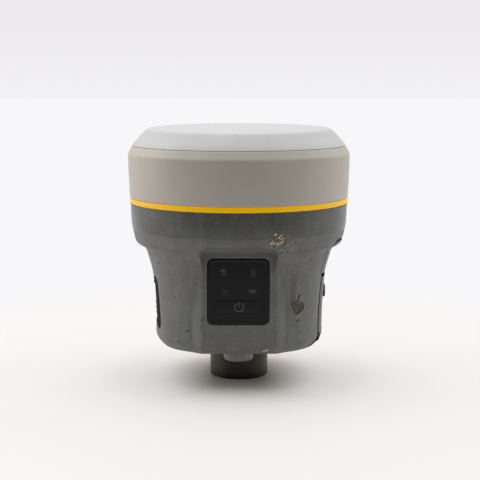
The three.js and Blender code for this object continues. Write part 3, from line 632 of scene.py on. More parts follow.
# ================================================================ finishes
def housing_extra(c):
    N, t = c["N"], c["tree"]
    co = c["co"]
    sep = N.add("ShaderNodeSeparateXYZ")
    t.links.new(co, sep.inputs[0])
    col = c["color"]
    # blotches, faint upright streaks and rubbed lighter places
    blotch = N.ramp(N.noise(co, 95, 5, 0.7), 0.36, 0.66, -1.0, 1.0)
    streak = N.ramp(N.noise(N.scale(co, (210, 210, 34)), 1.0, 3, 0.6), 0.36, 0.64, -1.0, 1.0)
    fine = N.ramp(N.noise(co, 620, 3, 0.7), 0.34, 0.66, -1.0, 1.0)
    tone = N.math("ADD", N.math("ADD", 1.0, N.math("MULTIPLY", blotch, 0.085)), N.math("ADD", N.math("MULTIPLY", streak, 0.065), N.math("MULTIPLY", fine, 0.065)))
    sc = N.add("ShaderNodeVectorMath", operation="SCALE")
    N.put(sc.inputs[0], col)
    N.put(sc.inputs["Scale"], tone)
    col = sc.outputs[0]
    rubbed = N.ramp(N.noise(N.vmath("ADD", co, (0.3, 0.1, 0.2)), 70, 5, 0.7), 0.58, 0.74)
    col = N.mix(N.math("MULTIPLY", rubbed, 0.30), col, srgb(146, 143, 138))
    wav = N.math("MULTIPLY", N.math("SUBTRACT", N.noise(co, 40, 2), 0.5), 0.0016)
    z = N.math("ADD", sep.outputs[2], wav)
    band = N.ramp(z, 0.0806, 0.0816)
    col = N.mix(band, col, N.scale(col, (0.66, 0.65, 0.61)))
    rough = N.math("SUBTRACT", c["rough"], N.math("MULTIPLY", band, 0.22))
    rough = N.math("ADD", rough, N.math("MULTIPLY", blotch, 0.03), clamp=True)
    # bare, crumbled chip on the lower edge of the band
    wide = fleck(c, 21.0, 80.4, 5.4, 3.6, 35, 0.34, 520, 0.35, 1.3)
    brown = fleck(c, 19.0, 82.7, 2.1, 1.5, 30, 0.26, 700, 0.25, 2.2)
    core = fleck(c, 18.9, 80.5, 2.7, 1.5, 35, 0.24, 800, 0.18, 4.1)
    crumbs = N.ramp(N.noise(co, 1250, 4, 0.7), 0.40, 0.62)
    col = N.mix(N.math("MULTIPLY", wide, 0.34), col, srgb(92, 88, 78))
    col = N.mix(N.math("MULTIPLY", brown, 0.85), col, N.mix(crumbs, srgb(58, 42, 32), srgb(96, 76, 60)))
    col = N.mix(N.math("MULTIPLY", core, 0.9), col, N.mix(crumbs, srgb(106, 84, 64), srgb(166, 142, 116)))
    bright = many(c, [(16.5, 79.4, 1.15, 0.62, 50), (18.4, 83.7, 0.75, 0.6, 20), (18.0, 79.0, 0.7, 0.45, 30), (19.7, 78.7, 0.95, 0.55, 88), (20.2, 82.1, 0.75, 0.45, 60)],
                  wobble=0.16, freq=1100, soft=0.3)
    greys = many(c, [(21.8, 81.5, 1.15, 0.42, 18), (21.6, 79.6, 1.25, 0.55, 40), (21.3, 83.1, 0.8, 0.36, 42)], wobble=0.14, freq=1100, soft=0.3)
    pale = many(c, [(27.2, 79.3, 0.9, 0.55, 30), (21.3, 75.1, 1.3, 0.4, 35), (24.4, 77.4, 1.5, 0.3, 44), (25.0, 82.6, 1.2, 0.28, 30), (19.0, 76.8, 0.9, 0.3, 60), (16.3, 77.0, 0.8, 0.3, 130)], wobble=0.16, freq=900, soft=0.4)
    hole = many(c, [(19.8, 81.1, 0.55, 0.5, 0), (21.9, 82.35, 1.0, 0.3, 20), (22.2, 80.8, 1.1, 0.3, 28), (23.2, 79.3, 1.2, 0.34, 48), (21.2, 74.0, 1.2, 0.32, 30), (17.6, 77.8, 0.8, 0.34, 60),
                    (15.8, 80.6, 0.9, 0.34, 20), (23.4, 76.2, 1.3, 0.26, 44), (28.8, 78.8, 0.8, 0.4, 100)], wobble=0.16, freq=1000, soft=0.3)
    col = N.mix(N.math("MULTIPLY", hole, 0.75), col, srgb(40, 36, 28))
    col = N.mix(N.math("MULTIPLY", pale, 0.45), col, srgb(158, 156, 148))
    col = N.mix(N.math("MULTIPLY", greys, 0.90), col, srgb(196, 198, 188))
    col = N.mix(N.math("MULTIPLY", bright, 0.95), col, srgb(212, 200, 178))
    # scrape to the right of the keypad: a rusty upright streak over an olive patch with dark edges
    streak1 = fleck(c, 28.2, 50.2, 4.2, 1.15, 90, 0.16, 700, 0.22, 2.1)
    streak2 = fleck(c, 27.0, 49.6, 4.4, 0.35, 90, 0.16, 700, 0.35, 3.3)
    patch = many(c, [(29.5, 45.3, 2.3, 2.1, 30), (31.4, 44.1, 2.5, 2.3, 50), (30.7, 42.2, 2.5, 1.6, 28)], wobble=0.15, freq=520, soft=0.12)
    olive = N.mix(N.ramp(N.noise(co, 900, 4, 0.7), 0.40, 0.62), srgb(56, 51, 36), srgb(98, 92, 68))
    col = N.mix(N.math("MULTIPLY", streak1, 0.65), col, srgb(110, 82, 72))
    col = N.mix(N.math("MULTIPLY", streak2, 0.45), col, srgb(58, 50, 44))
    col = N.mix(N.math("MULTIPLY", patch, 0.80), col, olive)
    rim = N.math("MULTIPLY", N.math("MULTIPLY", patch, N.math("SUBTRACT", 1.0, patch)), 4.0)
    col = N.mix(N.math("MULTIPLY", rim, 0.55), col, srgb(42, 38, 32))
    cuts = many(c, [(31.1, 49.6, 1.1, 0.6, 65), (30.7, 47.9, 1.1, 0.45, 80), (31.2, 41.0, 2.1, 0.42, 28), (33.3, 43.6, 1.7, 0.34, 84), (28.3, 42.9, 1.4, 0.3, 132), (27.2, 46.2, 1.0, 0.26, 60)], wobble=0.16, freq=900, soft=0.3)
    col = N.mix(N.math("MULTIPLY", cuts, 0.85), col, srgb(26, 22, 18))
    hatch = many(c, [(31.0, 39.4, 1.6, 0.26, 32), (30.4, 38.4, 1.6, 0.26, 32), (32.2, 40.0, 1.0, 0.24, 32), (31.0, 46.3, 0.7, 0.4, 40)], wobble=0.1, freq=900, soft=0.35)
    col = N.mix(N.math("MULTIPLY", hatch, 0.40), col, srgb(160, 156, 156))
    trail = fleck(c, 28.2, 57.4, 4.0, 1.2, 90, 0.22, 400, 0.5, 8.8)
    col = N.mix(N.math("MULTIPLY", trail, 0.30), col, srgb(62, 56, 50))
    # dark specks
    specks = many(c, [(-19.1, 38.0, 1.1, 0.33, 70), (-19.6, 35.2, 0.8, 0.3, 110), (-19.9, 33.2, 0.5, 0.3, 60), (-26.6, 31.5, 0.8, 0.55, 20), (-31.2, 25.3, 0.9, 0.6, 0),
                      (-42.2, 65.4, 0.9, 0.5, 20), (30.5, 36.5, 0.85, 0.75, 0), (24.5, 74.0, 0.7, 0.5, 40), (-15.5, 77.0, 0.7, 0.35, 60), (37.0, 69.0, 0.9, 0.35, 80),
                      (-33, 49, 0.45, 0.4, 0), (-29, 58, 0.4, 0.35, 0), (34.5, 60, 0.45, 0.4, 0), (-24, 69, 0.5, 0.35, 0)], wobble=0.2, freq=900, soft=0.3)
    col = N.mix(N.math("MULTIPLY", specks, 0.75), col, srgb(36, 33, 31))
    # bright nick on the front rim and faint pale scratches on the band
    nick = many(c, [(13.0, 21.6, 1.1, 0.34, 6), (14.3, 22.0, 1.0, 0.42, 14)], wobble=0.2, freq=900, soft=0.3)
    col = N.mix(nick, col, srgb(214, 212, 208))
    lines = many(c, [(38.6, 88.4, 2.4, 0.16, -24), (39.6, 86.2, 2.0, 0.14, -30), (-36, 84.0, 1.8, 0.14, 20), (6, 90.3, 2.2, 0.12, 8)], wobble=0.1, freq=900, soft=0.5)
    col = N.mix(N.math("MULTIPLY", lines, 0.35), col, srgb(168, 166, 164))
    # fine random specks of dirt and of wear over the whole shell
    dots = N.math("MULTIPLY", N.ramp(N.noise(co, 560, 2, 0.5), 0.69, 0.735), N.ramp(N.noise(co, 33, 2), 0.40, 0.62))
    col = N.mix(N.math("MULTIPLY", dots, 0.55), col, srgb(46, 42, 38))
    light = N.math("MULTIPLY", N.ramp(N.noise(N.vmath("ADD", co, (1.0, 0.4, 0.2)), 640, 2, 0.5), 0.70, 0.75), N.ramp(N.noise(co, 27, 2), 0.44, 0.62))
    col = N.mix(N.math("MULTIPLY", light, 0.40), col, srgb(172, 168, 160))
    c["color"] = col
    c["rough"] = N.math("ADD", rough, N.math("MULTIPLY", N.math("MAXIMUM", core, patch), 0.25), clamp=True)
    cavity = N.math("ADD", N.math("MULTIPLY", core, 1.8), N.math("ADD", N.math("MULTIPLY", patch, 1.2), N.math("MULTIPLY", N.math("MAXIMUM", cuts, hole), 1.5)))
    c["height"] = N.math("ADD", N.math("SUBTRACT", c["height"], cavity), N.math("MULTIPLY", bright, 1.2))


def radome_extra(c):
    N = c["N"]
    smear = N.ramp(N.noise(N.scale(c["co"], (30, 30, 9)), 1.0, 5, 0.65), 0.46, 0.74)
    c["color"] = N.mix(N.math("MULTIPLY", smear, 0.10), c["color"], srgb(120, 110, 92))
    # a thin grey film where the weather lies on the flat top
    # painted shade: a cool grey laid over the flat top and the upper bevel, growing with height
    sp = N.add("ShaderNodeSeparateXYZ")
    N.put(sp.inputs[0], c["co"])
    c["color"] = N.mix(N.math("MULTIPLY", N.ramp(sp.outputs[2], 0.1275, 0.1346), 0.44), c["color"], srgb(175, 177, 184))
    dots = N.ramp(N.noise(c["co"], 460, 2, 0.5), 0.755, 0.785)
    c["color"] = N.mix(N.math("MULTIPLY", dots, 0.35), c["color"], srgb(96, 90, 80))


M_CAP = surface("radome_cap_plastic", srgb(207, 206, 205), 0.42, vary=0.05, grain=0.10, grain_scale=1100, scratches=0.12, dust=0.05, extra=radome_extra)
# painted warm light: the skirt's tint is warmer than the cap's, standing in for warm light from the front and below
M_SKIRT = surface("radome_skirt_plastic", srgb(203, 198, 187), 0.40, vary=0.06, grain=0.12, grain_scale=1100, scratches=0.12, dust=0.04, extra=radome_extra)
def ring_painted_glow(c):
    """Painted glow: the ring's material gives off a little light in its own colour, though it is no lamp, so that the
    amber reads brighter.
    """
    c["N"].put(c["bsdf"].inputs["Emission Color"], c["color"])
    c["bsdf"].inputs["Emission Strength"].default_value = 0.20


M_RING = surface("amber_ring", srgb(250, 194, 0), 0.38, vary=0.10, grain=0.08, scratches=0.16, dust=0.0, extra=ring_painted_glow)
M_HOUSING = surface("housing_grey", srgb(113, 115, 114), 0.50, vary=0.12, vary_scale=38, grain=0.22, grain_scale=1500, rough_var=0.10, scratches=0.16,
                    dust=0.10, dust_color=srgb(150, 144, 132), extra=housing_extra)
M_DOOR = surface("door_grey", srgb(111, 113, 112), 0.50, vary=0.12, vary_scale=38, grain=0.22, grain_scale=1500, scratches=0.16, dust=0.08,
                 dust_color=srgb(150, 144, 132))
M_GAP = surface("black_seal_and_gap", srgb(11, 11, 11), 0.85, grain=0.10, spec=0.04)
M_BLACK = surface("black_plastic", srgb(38, 38, 39), 0.42, vary=0.12, grain=0.14, scratches=0.12, dust=0.04)
M_FILM = surface("keypad_film", srgb(25, 29, 30), 0.42, vary=0.10, grain=0.05, grain_scale=2400, rough_var=0.12, spec=0.28, dust=0.05, dust_color=srgb(90, 88, 84))
M_FILM2 = surface("keypad_inner", srgb(27, 31, 32), 0.42, vary=0.10, grain=0.05, grain_scale=2400, rough_var=0.12, spec=0.28, dust=0.05, dust_color=srgb(90, 88, 84))
M_ICON = surface("icon_print", srgb(74, 77, 75), 0.5, vary=0.2, grain=0.03)
M_ICON3 = surface("icon_faint", srgb(60, 63, 61), 0.5, vary=0.2, grain=0.03)
M_LATCH = surface("latch_black", srgb(24, 24, 24), 0.55, vary=0.12, grain=0.14, spec=0.16, scratches=0.10, dust=0.02)
M_ICON2 = surface("icon_bright", srgb(80, 81, 88), 0.5, vary=0.1, grain=0.03)
M_RUBBER = surface("rubber_black", srgb(24, 24, 24), 0.78, vary=0.14, grain=0.3, grain_scale=1200, spec=0.14, dust=0.06, dust_color=srgb(80, 76, 70))
M_GREY = surface("button_grey", srgb(148, 150, 153), 0.40, vary=0.08, grain=0.14, scratches=0.14, dust=0.06)
M_ANOD = surface("anodised_black", srgb(62, 58, 53), 0.40, metal=0.6, vary=0.12, grain=0.12, turned=900.0, scratches=0.16, dust=0.05)
M_STEEL = surface("steel", (0.62, 0.62, 0.63, 1), 0.30, metal=1.0, vary=0.08, grain=0.10, scratches=0.15)
M_TURNED = surface("turned_steel", (0.60, 0.60, 0.61, 1), 0.28, metal=1.0, vary=0.08, grain=0.14, turned=1500.0)
M_BRASS = surface("brass", (0.72, 0.52, 0.22, 1), 0.30, metal=1.0, vary=0.10, grain=0.10, turned=1300.0)
M_GOLD = surface("contact_gold", (0.85, 0.62, 0.26, 1), 0.25, metal=1.0, vary=0.06, grain=0.06)
M_ALU = surface("aluminium", (0.70, 0.71, 0.73, 1), 0.38, metal=1.0, vary=0.06, grain=0.12, brush=(900, 18, 900))
M_BOARD = surface("board_green", srgb(24, 92, 56), 0.42, vary=0.18, grain=0.16, grain_scale=700)
M_CERAMIC = surface("antenna_ceramic", srgb(226, 220, 205), 0.62, vary=0.06, grain=0.16)
M_CELL = surface("cell_wrap", srgb(46, 50, 55), 0.46, vary=0.10, grain=0.12, scratches=0.2)
M_WINDOW = M_FILM2
M_PLATE = surface("plate_satin", (0.42, 0.43, 0.45, 1), 0.42, metal=0.85, vary=0.06, grain=0.08, brush=(14, 900, 900), scratches=0.2)

# ================================================================ lower housing
rows = samples(19.8, 94.25, 0.42, edges=(26.2, DOOR_Z, 59.6, 29.0, 56.7, 32.9, 52.8, 32.2, 52.5, 35.25, 70.55, 35.8, 58.2, 38.3, 67.5, 75.6, FAIR_TOP))
t_side = samples(-28, 28, 0.5, edges=(-22.9, 22.9, -16.3, 16.3, -5.8, 5.8, -18.4, 18.4, -19, 19, -23.6, 23.6, -25, 25))
t_front = samples(-28, 28, 0.5, edges=(-19.4, 19.4, -23.4, 23.4, -16.35, 16.35, -15.2, 15.2, -13.3, 13.3))
cols = []
KC = 44
Zr = rows
for sector in range(4):
    if sector == 0:
        for y in t_side:
            cols.append(np.stack([side_plus(np.full_like(Zr, y), Zr), np.full_like(Zr, y), Zr], 1))
    elif sector == 1:
        for x in t_front[::-1]:
            cols.append(np.stack([np.full_like(Zr, x), back_height(np.full_like(Zr, x), Zr), Zr], 1))
    elif sector == 2:
        for y in t_side[::-1]:
            cols.append(np.stack([-side_minus(np.full_like(Zr, y), Zr), np.full_like(Zr, y), Zr], 1))
    else:
        for x in t_front:
            cols.append(np.stack([np.full_like(Zr, x), -face_height(np.full_like(Zr, x), Zr), Zr], 1))
    hx, hy = outer_side(28.0, Zr), outer_side(28.0, Zr, 1.0)
    a0 = np.arctan2(28.0, hx if sector % 2 == 0 else hy)
    a1 = np.arctan2(hy if sector % 2 == 0 else hx, 28.0)
    for k in range(1, KC + 1):
        th = a0 + (a1 - a0) * k / (KC + 1) + sector * math.pi / 2
        r = outer_polar(th, Zr)
        cols.append(np.stack([r * np.cos(th), r * np.sin(th), Zr], 1))
P = np.stack(cols)  # columns, rows, xyz
NCOL = len(P)
# top lip: rounded edge, flat land and inner wall
ang = np.arctan2(P[:, -1, 1], P[:, -1, 0])
lip = []
for r, z in ((58.5, 94.4), (58.42, 94.58), (58.25, 94.68), (58.0, 94.7), (56.4, 94.7), (56.2, 94.5), (56.1, 86.0)):
    lip.append(np.stack([r * np.cos(ang), r * np.sin(ang), np.full(NCOL, z)], 1))
# underside: from the rim to the adapter socket
rim = P[:, 0, :2]
rang = np.arctan2(rim[:, 1], rim[:, 0])
hole = np.stack([18.3 * np.cos(rang), 18.3 * np.sin(rang)], 1)


def under_z(x, y):
    z = np.full_like(x, 19.8)
    for sx, sy in ((25.5, 25.5), (-25.5, 25.5), (-25.5, -25.5), (25.5, -25.5)):
        z = np.maximum(z, 19.8 + 1.5 * soft_step((3.55 - np.hypot(x - sx, y - sy)) / 0.3))
    z = np.maximum(z, 19.8 + 2.4 * soft_step((3.35 - np.hypot(x + 30, y - 4)) / 0.3))
    z = np.maximum(z, 19.8 + 4.53 * soft_step(-rrect(x, y, 0, -21, 6.15, 4.9, 0.8) / 0.3))
    g = np.abs(np.hypot(x, y) - 20.6)
    z = np.maximum(z, 19.8 + 0.25 * soft_step((0.5 - g) / 0.3))
    return z


under = []
NU = 70
for k in range(1, NU + 1):
    s = k / NU
    q = rim * (1 - s) + hole * s
    if k == 1:
        q = rim * 0.992
    under.append(np.stack([q[:, 0], q[:, 1], under_z(q[:, 0], q[:, 1])], 1))
# the tab's stem slides in and out through the front of the socket's rim, so that part of the rim is cut away
rise = 24.33 * ((hole[:, 1] < 0) & (np.abs(hole[:, 0]) < 6.3))
under.append(np.stack([hole[:, 0] * 0.995, hole[:, 1] * 0.995, np.maximum(20.0, rise)], 1))
under.append(np.stack([hole[:, 0] * 0.99, hole[:, 1] * 0.99, np.maximum(22.6, rise)], 1))
under.append(np.stack([hole[:, 0] * 0.62, hole[:, 1] * 0.62, np.maximum(22.6, rise)], 1))
full = np.concatenate([np.stack(under[::-1], 1), P, np.stack(lip, 1)], 1)
NROW = full.shape[1]
F = grid_faces(NCOL, NROW, close_u=True)
V = full.reshape(-1, 3)
cen = V[F].mean(1)
on_px = (cen[:, 0] > 30) & (cen[:, 0] >= np.abs(cen[:, 1]))
on_mx = (cen[:, 0] < -30) & (-cen[:, 0] >= np.abs(cen[:, 1]))
on_my = (cen[:, 1] < -30) & (-cen[:, 1] >= np.abs(cen[:, 0]))
kill = on_px & (np.abs(cen[:, 1]) < 18.4) & (cen[:, 2] > 32.2) & (cen[:, 2] < 52.5) & (cen[:, 0] < 39.9)
k2 = on_mx & (np.hypot(cen[:, 1] + 8.5, cen[:, 2] - PORT_Z) < 4.7)
k3 = on_mx & (np.abs(cen[:, 1] - 9.5) < 4.3) & (np.abs(cen[:, 2] - PORT_Z) < 1.5)
k4 = on_my & (np.abs(cen[:, 0]) < 13.3) & (cen[:, 2] > 38.3) & (cen[:, 2] < 67.5)
drop = kill | k2 | k3 | k4
F = F[~drop]
cen = V[F].mean(1)
housing = mesh_object("lower_housing_shell", V, F, M_HOUSING)
housing.data.materials.append(M_GAP)
# black faces inside the door, fairing and port pockets, and on the lower chamfer beside the door
ax, ay, az = cen[:, 0], cen[:, 1], cen[:, 2]
osx = outer_side(np.clip(np.abs(ay), 0, 40), az)
deep = (osx - np.abs(ax)) > 0.5
px = (ax > 30) & (np.abs(ay) < 27) & (az > 20.0) & (az < 80) & (deep | ((np.abs(ay) < DOOR_HW + 0.6) & (az < 25.5)))
mxp = (ax < -30) & (np.abs(ay) < 24) & (az > 28) & (az < 58) & deep
px |= (ax > 30) & (az > 20.0) & (az < 26.6) & (np.abs(ay) < DOOR_HW + 0.6 + (25.8 - az) * 0.75)
idx = (px | mxp).astype(np.int32)
housing.data.polygons.foreach_set("material_index", idx)
# walls of the openings
bm = bmesh.new()
bm.from_mesh(housing.data)
edges = [e for e in bm.edges if e.is_boundary]


def ext(sel, vec):
    es = [e for e in edges if e.is_valid and all(sel(v.co / MM) for v in e.verts)]
    if not es:
        return
    g = bmesh.ops.extrude_edge_only(bm, edges=es)
    bmesh.ops.translate(bm, vec=Vector(vec) * MM, verts=[x for x in g["geom"] if isinstance(x, bmesh.types.BMVert)])


ext(lambda c: c.x > 37 and abs(c.y) < 19 and 31 < c.z < 53.5, (-3.2, 0, 0))
ext(lambda c: c.x < -34 and abs(c.y) < 16 and 36 < c.z < 50, (1.6, 0, 0))
ext(lambda c: c.y < -40 and abs(c.x) < 14 and 37 < c.z < 69, (0, 2.4, 0))
bmesh.ops.recalc_face_normals(bm, faces=bm.faces)
bm.to_mesh(housing.data)
bm.free()
sharp_by_angle(housing.data, 38)
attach(housing, "receiver_body")
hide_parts("lower_housing")


# ================================================================ slabs on the sides
def slab(name, zs, half, front, back, sd, material, sgn=1, rnd=0.45, nu=80):
    """A closed slab whose outer face is front(y, z) and inner face back(y, z), with rounded edges."""
    c = np.concatenate([[0, 0.004, 0.012, 0.022, 0.035, 0.05], np.linspace(0.07, 0.93, nu), [0.95, 0.965, 0.978, 0.988, 0.996, 1]]) * 2 - 1
    Z, U = np.meshgrid(zs, c, indexing="ij")
    W = np.interp(Z, zs, half)
    Y = U * W
    X = front(Y, Z) - edge_drop(np.maximum(-sd(Y, Z), 0), rnd)
    B = back(Y, Z)
    B = np.minimum(B, X - 0.4)
    nz, nc = Z.shape
    Vf = np.stack([sgn * X, Y, Z], -1).reshape(-1, 3)
    Vb = np.stack([sgn * B, Y, Z], -1).reshape(-1, 3)
    Ff = grid_faces(nz, nc)
    Fb = grid_faces(nz, nc, flip=True) + nz * nc
    loop = [i * nc for i in range(nz)] + [(nz - 1) * nc + j for j in range(1, nc)] + [i * nc + nc - 1 for i in range(nz - 2, -1, -1)] + [j for j in range(nc - 2, 0, -1)]
    L = np.array(loop)
    L2 = np.roll(L, -1)
    Fs = np.stack([L, L2, L2 + nz * nc, L + nz * nc], 1)
    o = mesh_object(name, np.concatenate([Vf, Vb]), np.concatenate([Ff, Fb, Fs]), material)
    fix_normals(o)
    sharp_by_angle(o.data, 42)
    for p in o.data.polygons:
        p.use_smooth = True
    return o


def edge_rows(lo, hi, n=60, extra=()):
    return samples(lo, hi, (hi - lo) / n, edges=(lo, hi) + tuple(extra), near=(0.03, 0.1, 0.2, 0.35, 0.55))


# fixed panel over the door
GF = 1.1
FZ0 = DOOR_Z + 0.35
zt = FAIR_TOP - GF
zs = edge_rows(FZ0, zt, 60, (60.4,))
hwf = np.interp(zs, [58, 58.6, 60.4, 66], [DOOR_HW + 0.4, DOOR_HW + 0.9, 25.2, 25.5]) - GF
rr = 5 - GF
top_in = np.clip(zs - (zt - rr), 0, rr)
hwf = np.minimum(hwf, (25.5 - GF) - (rr - np.sqrt(np.maximum(rr * rr - top_in ** 2, 0))))


def fair_own(y, z):
    side = np.abs(y) - np.interp(z, zs, hwf)
    return np.maximum(np.maximum(side, z - zt), FZ0 - z)


fairing = slab("side_fairing_panel", zs, hwf, outer_side, lambda y, z: outer_side(y, z) - 2.1, fair_own, M_DOOR, rnd=0.5)
fairing = boolean(fairing, [box_solid("k", (38, -5.7, 57), (60, 5.7, 59.5), 0.3, None)])
sharp_by_angle(fairing.data, 42)
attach(fairing, "receiver_body")
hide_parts("side_fairing")

# battery door
GD = 1.35
BLACK_EDGE_Y = 19.7


def door_front(y, z):
    o = outer_side(y, z) + 0.12
    ramp = np.interp(z, [50.35, 50.7, 51.4, 53.2, 54.2], [45.6, 46.2, 46.0, 45.3, 44.0])
    ramp = np.where(z < 50.33, 30.0, ramp) - 1.5 * np.maximum(np.abs(y) - 8.0, 0) ** 1.2
    o = o - 0.55 * soft_step((np.abs(y) - BLACK_EDGE_Y) / 0.25)
    h = smax(o, ramp, 0.35)
    sd = rrect(y, z, 0, 44.9, 6.4, 5.4, 0.9)
    h = np.where(sd < -0.25, 44.1, np.where(sd < 0, 44.1 + (h - 44.1) * soft_step(1 + sd / 0.25), h - edge_drop(np.maximum(sd, 0), 0.3)))
    return h


def door_back(y, z):
    base = np.where(z > 26.3, 39.95, 41.6)
    sd = rrect(y, z, 0, 40.75, 17.5, 11.25, 1.5)
    return np.where((sd < 0) & (z > 28), base + (43.0 - base) * soft_step(-sd / 0.4), base)


DT = 57.4
dz = edge_rows(22.6, DT, 90, (26.3, 39.5, 50.33, 29.5, 52.0))
dhw = np.interp(dz, [22.6, 26.25, 26.35, DT], [15.8, 15.8, DOOR_HW - GD, DOOR_HW - GD])


def door_own(y, z):
    w = np.interp(z, dz, dhw)
    return np.maximum(np.maximum(np.abs(y) - w, z - DT), 22.6 - z)


door = slab("battery_door_shell", dz, dhw, door_front, door_back, door_own, M_DOOR, rnd=0.5, nu=110)
door.data.materials.append(M_GAP)
# the door's edge walls and its top strip take the black material
for p in door.data.polygons:
    c = p.center / MM
    if abs(c.y) > BLACK_EDGE_Y + 0.12 or c.z > DT - 0.5:
        p.material_index = 1


def pin_bore():
    b = lathe("bore", [(0, -17.0), (1.06, -17.0), (1.06, 17.0), (0, 17.0)], M_DOOR, seg=40)
    b.data.transform(Matrix.Translation((0.041, 0, 0.0232)) @ Matrix.Rotation(math.radians(90), 4, "X"))
    return b


door = boolean(door, [box_solid("k", (42, -4.4, 40.1), (45.2, 4.4, 49.7), 0.2, None), box_solid("k2", (38, -5.4, 50), (43.0, 5.4, 59), 0, None), pin_bore()])
sharp_by_angle(door.data, 42)
barrel = lathe("barrel", [(1.06, -15.9), (2.0, -15.9), (2.2, -15.7), (2.2, -5.4), (2.05, -5.2), (2.05, 5.2), (2.2, 5.4), (2.2, 15.7), (2.0, 15.9), (1.06, 15.9), (1.06, -15.9)], M_DOOR, seg=40)
barrel.data.transform(Matrix.Translation((0.041, 0, 0.0232)) @ Matrix.Rotation(math.radians(90), 4, "X"))
web = boolean(box_solid("web", (40.2, -15.6, 22.3), (42.4, 15.6, 25.6), 0.3, M_DOOR), [pin_bore()])
ribs = [box_solid("rib%d" % i, (41.4, y - 0.5, 30.5), (43.2, y + 0.5, 36.5), 0.2, M_DOOR) for i, y in enumerate((-12, -6, 0, 6, 12))]
door = join("battery_door_shell", [door, barrel, web] + ribs)
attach(door, "battery_door_body")
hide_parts("battery_door")

latch_parts = [box_solid("thumb", (44.3, -5.9, 43.55), (46.4, 5.9, 49.9), 0.45, M_LATCH)]
for i in range(5):
    z = 44.35 + i * 1.18
    latch_parts.append(box_solid("rb%d" % i, (46.1, -5.2, z - 0.28), (46.85, 5.2, z + 0.28), 0.2, M_LATCH))
latch_parts.append(box_solid("neck", (42.4, -3.9, 44.1), (44.8, 3.9, 49.2), 0.2, M_LATCH))
latch_parts.append(box_solid("slide", (41.25, -4.9, 41.1), (42.65, 4.9, 56.6), 0.25, M_LATCH))
latch_parts.append(box_solid("bolt", (41.3, -4.4, 56.2), (42.6, 4.4, 59.05), 0.35, M_LATCH))
latch = join("door_latch_slider", latch_parts)
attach(latch, "door_latch_body")
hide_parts("door_latch")

# port cover
PL, PH = PORT_Z - 13.3, PORT_Z + 13.3
pz = edge_rows(PL, PH, 60, (PORT_Z,))
phw = np.full_like(pz, 23.0)
cr = 2.9
for lo_hi in (PL, PH):
    d = np.clip(cr - np.abs(pz - lo_hi), 0, cr)
    phw = np.minimum(phw, 23.0 - (cr - np.sqrt(np.maximum(cr * cr - d ** 2, 0))))


def cover_own(y, z):
    return rrect(y, z, 0, PORT_Z, 23.0, 13.3, cr)


def cover_front(y, z):
    o = outer_side(y, z) - 0.05
    rim_d = -rrect(y, z, 0, PORT_Z, 23.0, 13.3, cr)
    o = o - 0.35 * soft_step((rim_d - 2.0) / 0.5) * (1 - 0.0)
    # a raised pull lip near the top edge and two moulded ridges
    lip = rrect(y, z, 0, 52.2, 7.5, 1.0, 0.9)
    o = o + 0.5 * soft_step(-(lip - 0.2) / 0.6)
    for zz in (36.0, 38.6, 41.2):
        o = o + 0.22 * soft_step((0.55 - np.abs(z - zz)) / 0.3) * (np.abs(y) < 14)
    return o


cover = slab("port_cover_flap", pz, phw, cover_front, lambda y, z: np.full_like(y, 40.3), cover_own, M_RUBBER, sgn=-1, rnd=0.5)
plug = lathe("plug", [(0, 0), (2.9, 0), (3.0, 0.2), (2.9, 1.9), (2.5, 2.2), (0, 2.2)], M_RUBBER, seg=48)
plug.data.transform(Matrix.Translation((-0.0406, -0.0085, PORT_Z * MM)) @ Matrix.Rotation(math.radians(90), 4, "Y"))
cover = join("port_cover_flap", [cover, plug])
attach(cover, "port_cover_body")
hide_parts("port_cover")


# ================================================================ radome
def smooth_profile(pts, n=6):
    """Catmull-Rom through (r, z) points."""
    p = np.array(pts, float)
    q = np.vstack([2 * p[0] - p[1], p, 2 * p[-1] - p[-2]])
    out = []
    for i in range(1, len(q) - 2):
        for k in range(n):
            t = k / n
            a, b, c, d = q[i - 1], q[i], q[i + 1], q[i + 2]
            out.append(tuple(0.5 * ((2 * b) + (c - a) * t + (2 * a - 5 * b + 4 * c - d) * t * t + (3 * b - a - 3 * c + d) * t ** 3)))
    out.append(tuple(p[-1]))
    return out


cap_outer = smooth_profile([(1.6, 135.98), (12, 135.96), (24, 135.86), (34, 135.6), (41, 135.25), (45.6, 134.9), (48.0, 134.5), (49.6, 133.8), (50.9, 132.7), (52.6, 131.0),
                            (54.4, 129.05), (56.0, 127.15), (57.04, 125.74)])
cap = lathe("radome_cap_shell", [(0, 135.78), (0.9, 135.8), (1.2, 135.93)] + cap_outer + [(57.08, 125.58), (56.9, 125.42), (55.4, 125.85), (53.6, 126.6), (51.6, 129.3), (48.6, 131.6), (34, 132.9), (0, 133.5)], M_CAP, seg=320)
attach(cap, "receiver_body"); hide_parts("radome_cap")
skirt_outer = smooth_profile([(57.36, 125.2), (57.98, 124.0), (58.62, 122.75), (59.14, 121.72), (59.42, 120.9), (59.5, 119.9), (59.5, 118.8), (59.48, 116.5), (59.3, 111.0), (59.05, 105.0), (58.78, 99.2)])
skirt = lathe("radome_skirt_shell", skirt_outer + [(58.74, 98.4), (58.6, 98.08), (58.3, 97.97), (56.0, 97.97), (56.0, 119.5), (54.6, 122.6), (51.0, 125.0), (51.0, 125.6), (54.5, 125.2),
                                                  (55.6, 125.0), (56.3, 125.0), (56.8, 125.16), (57.1, 125.34), (57.24, 125.3), (57.36, 125.2)], M_SKIRT, seg=320)
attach(skirt, "receiver_body"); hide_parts("radome_skirt")
ringo = lathe("accent_ring_band", round_corners([(56.2, 94.92), (58.55, 94.92), (58.68, 96.4), (58.62, 97.78), (56.2, 97.78), (56.2, 94.92)], 0.3), M_RING, seg=320)
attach(ringo, "receiver_body"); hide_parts("accent_ring")

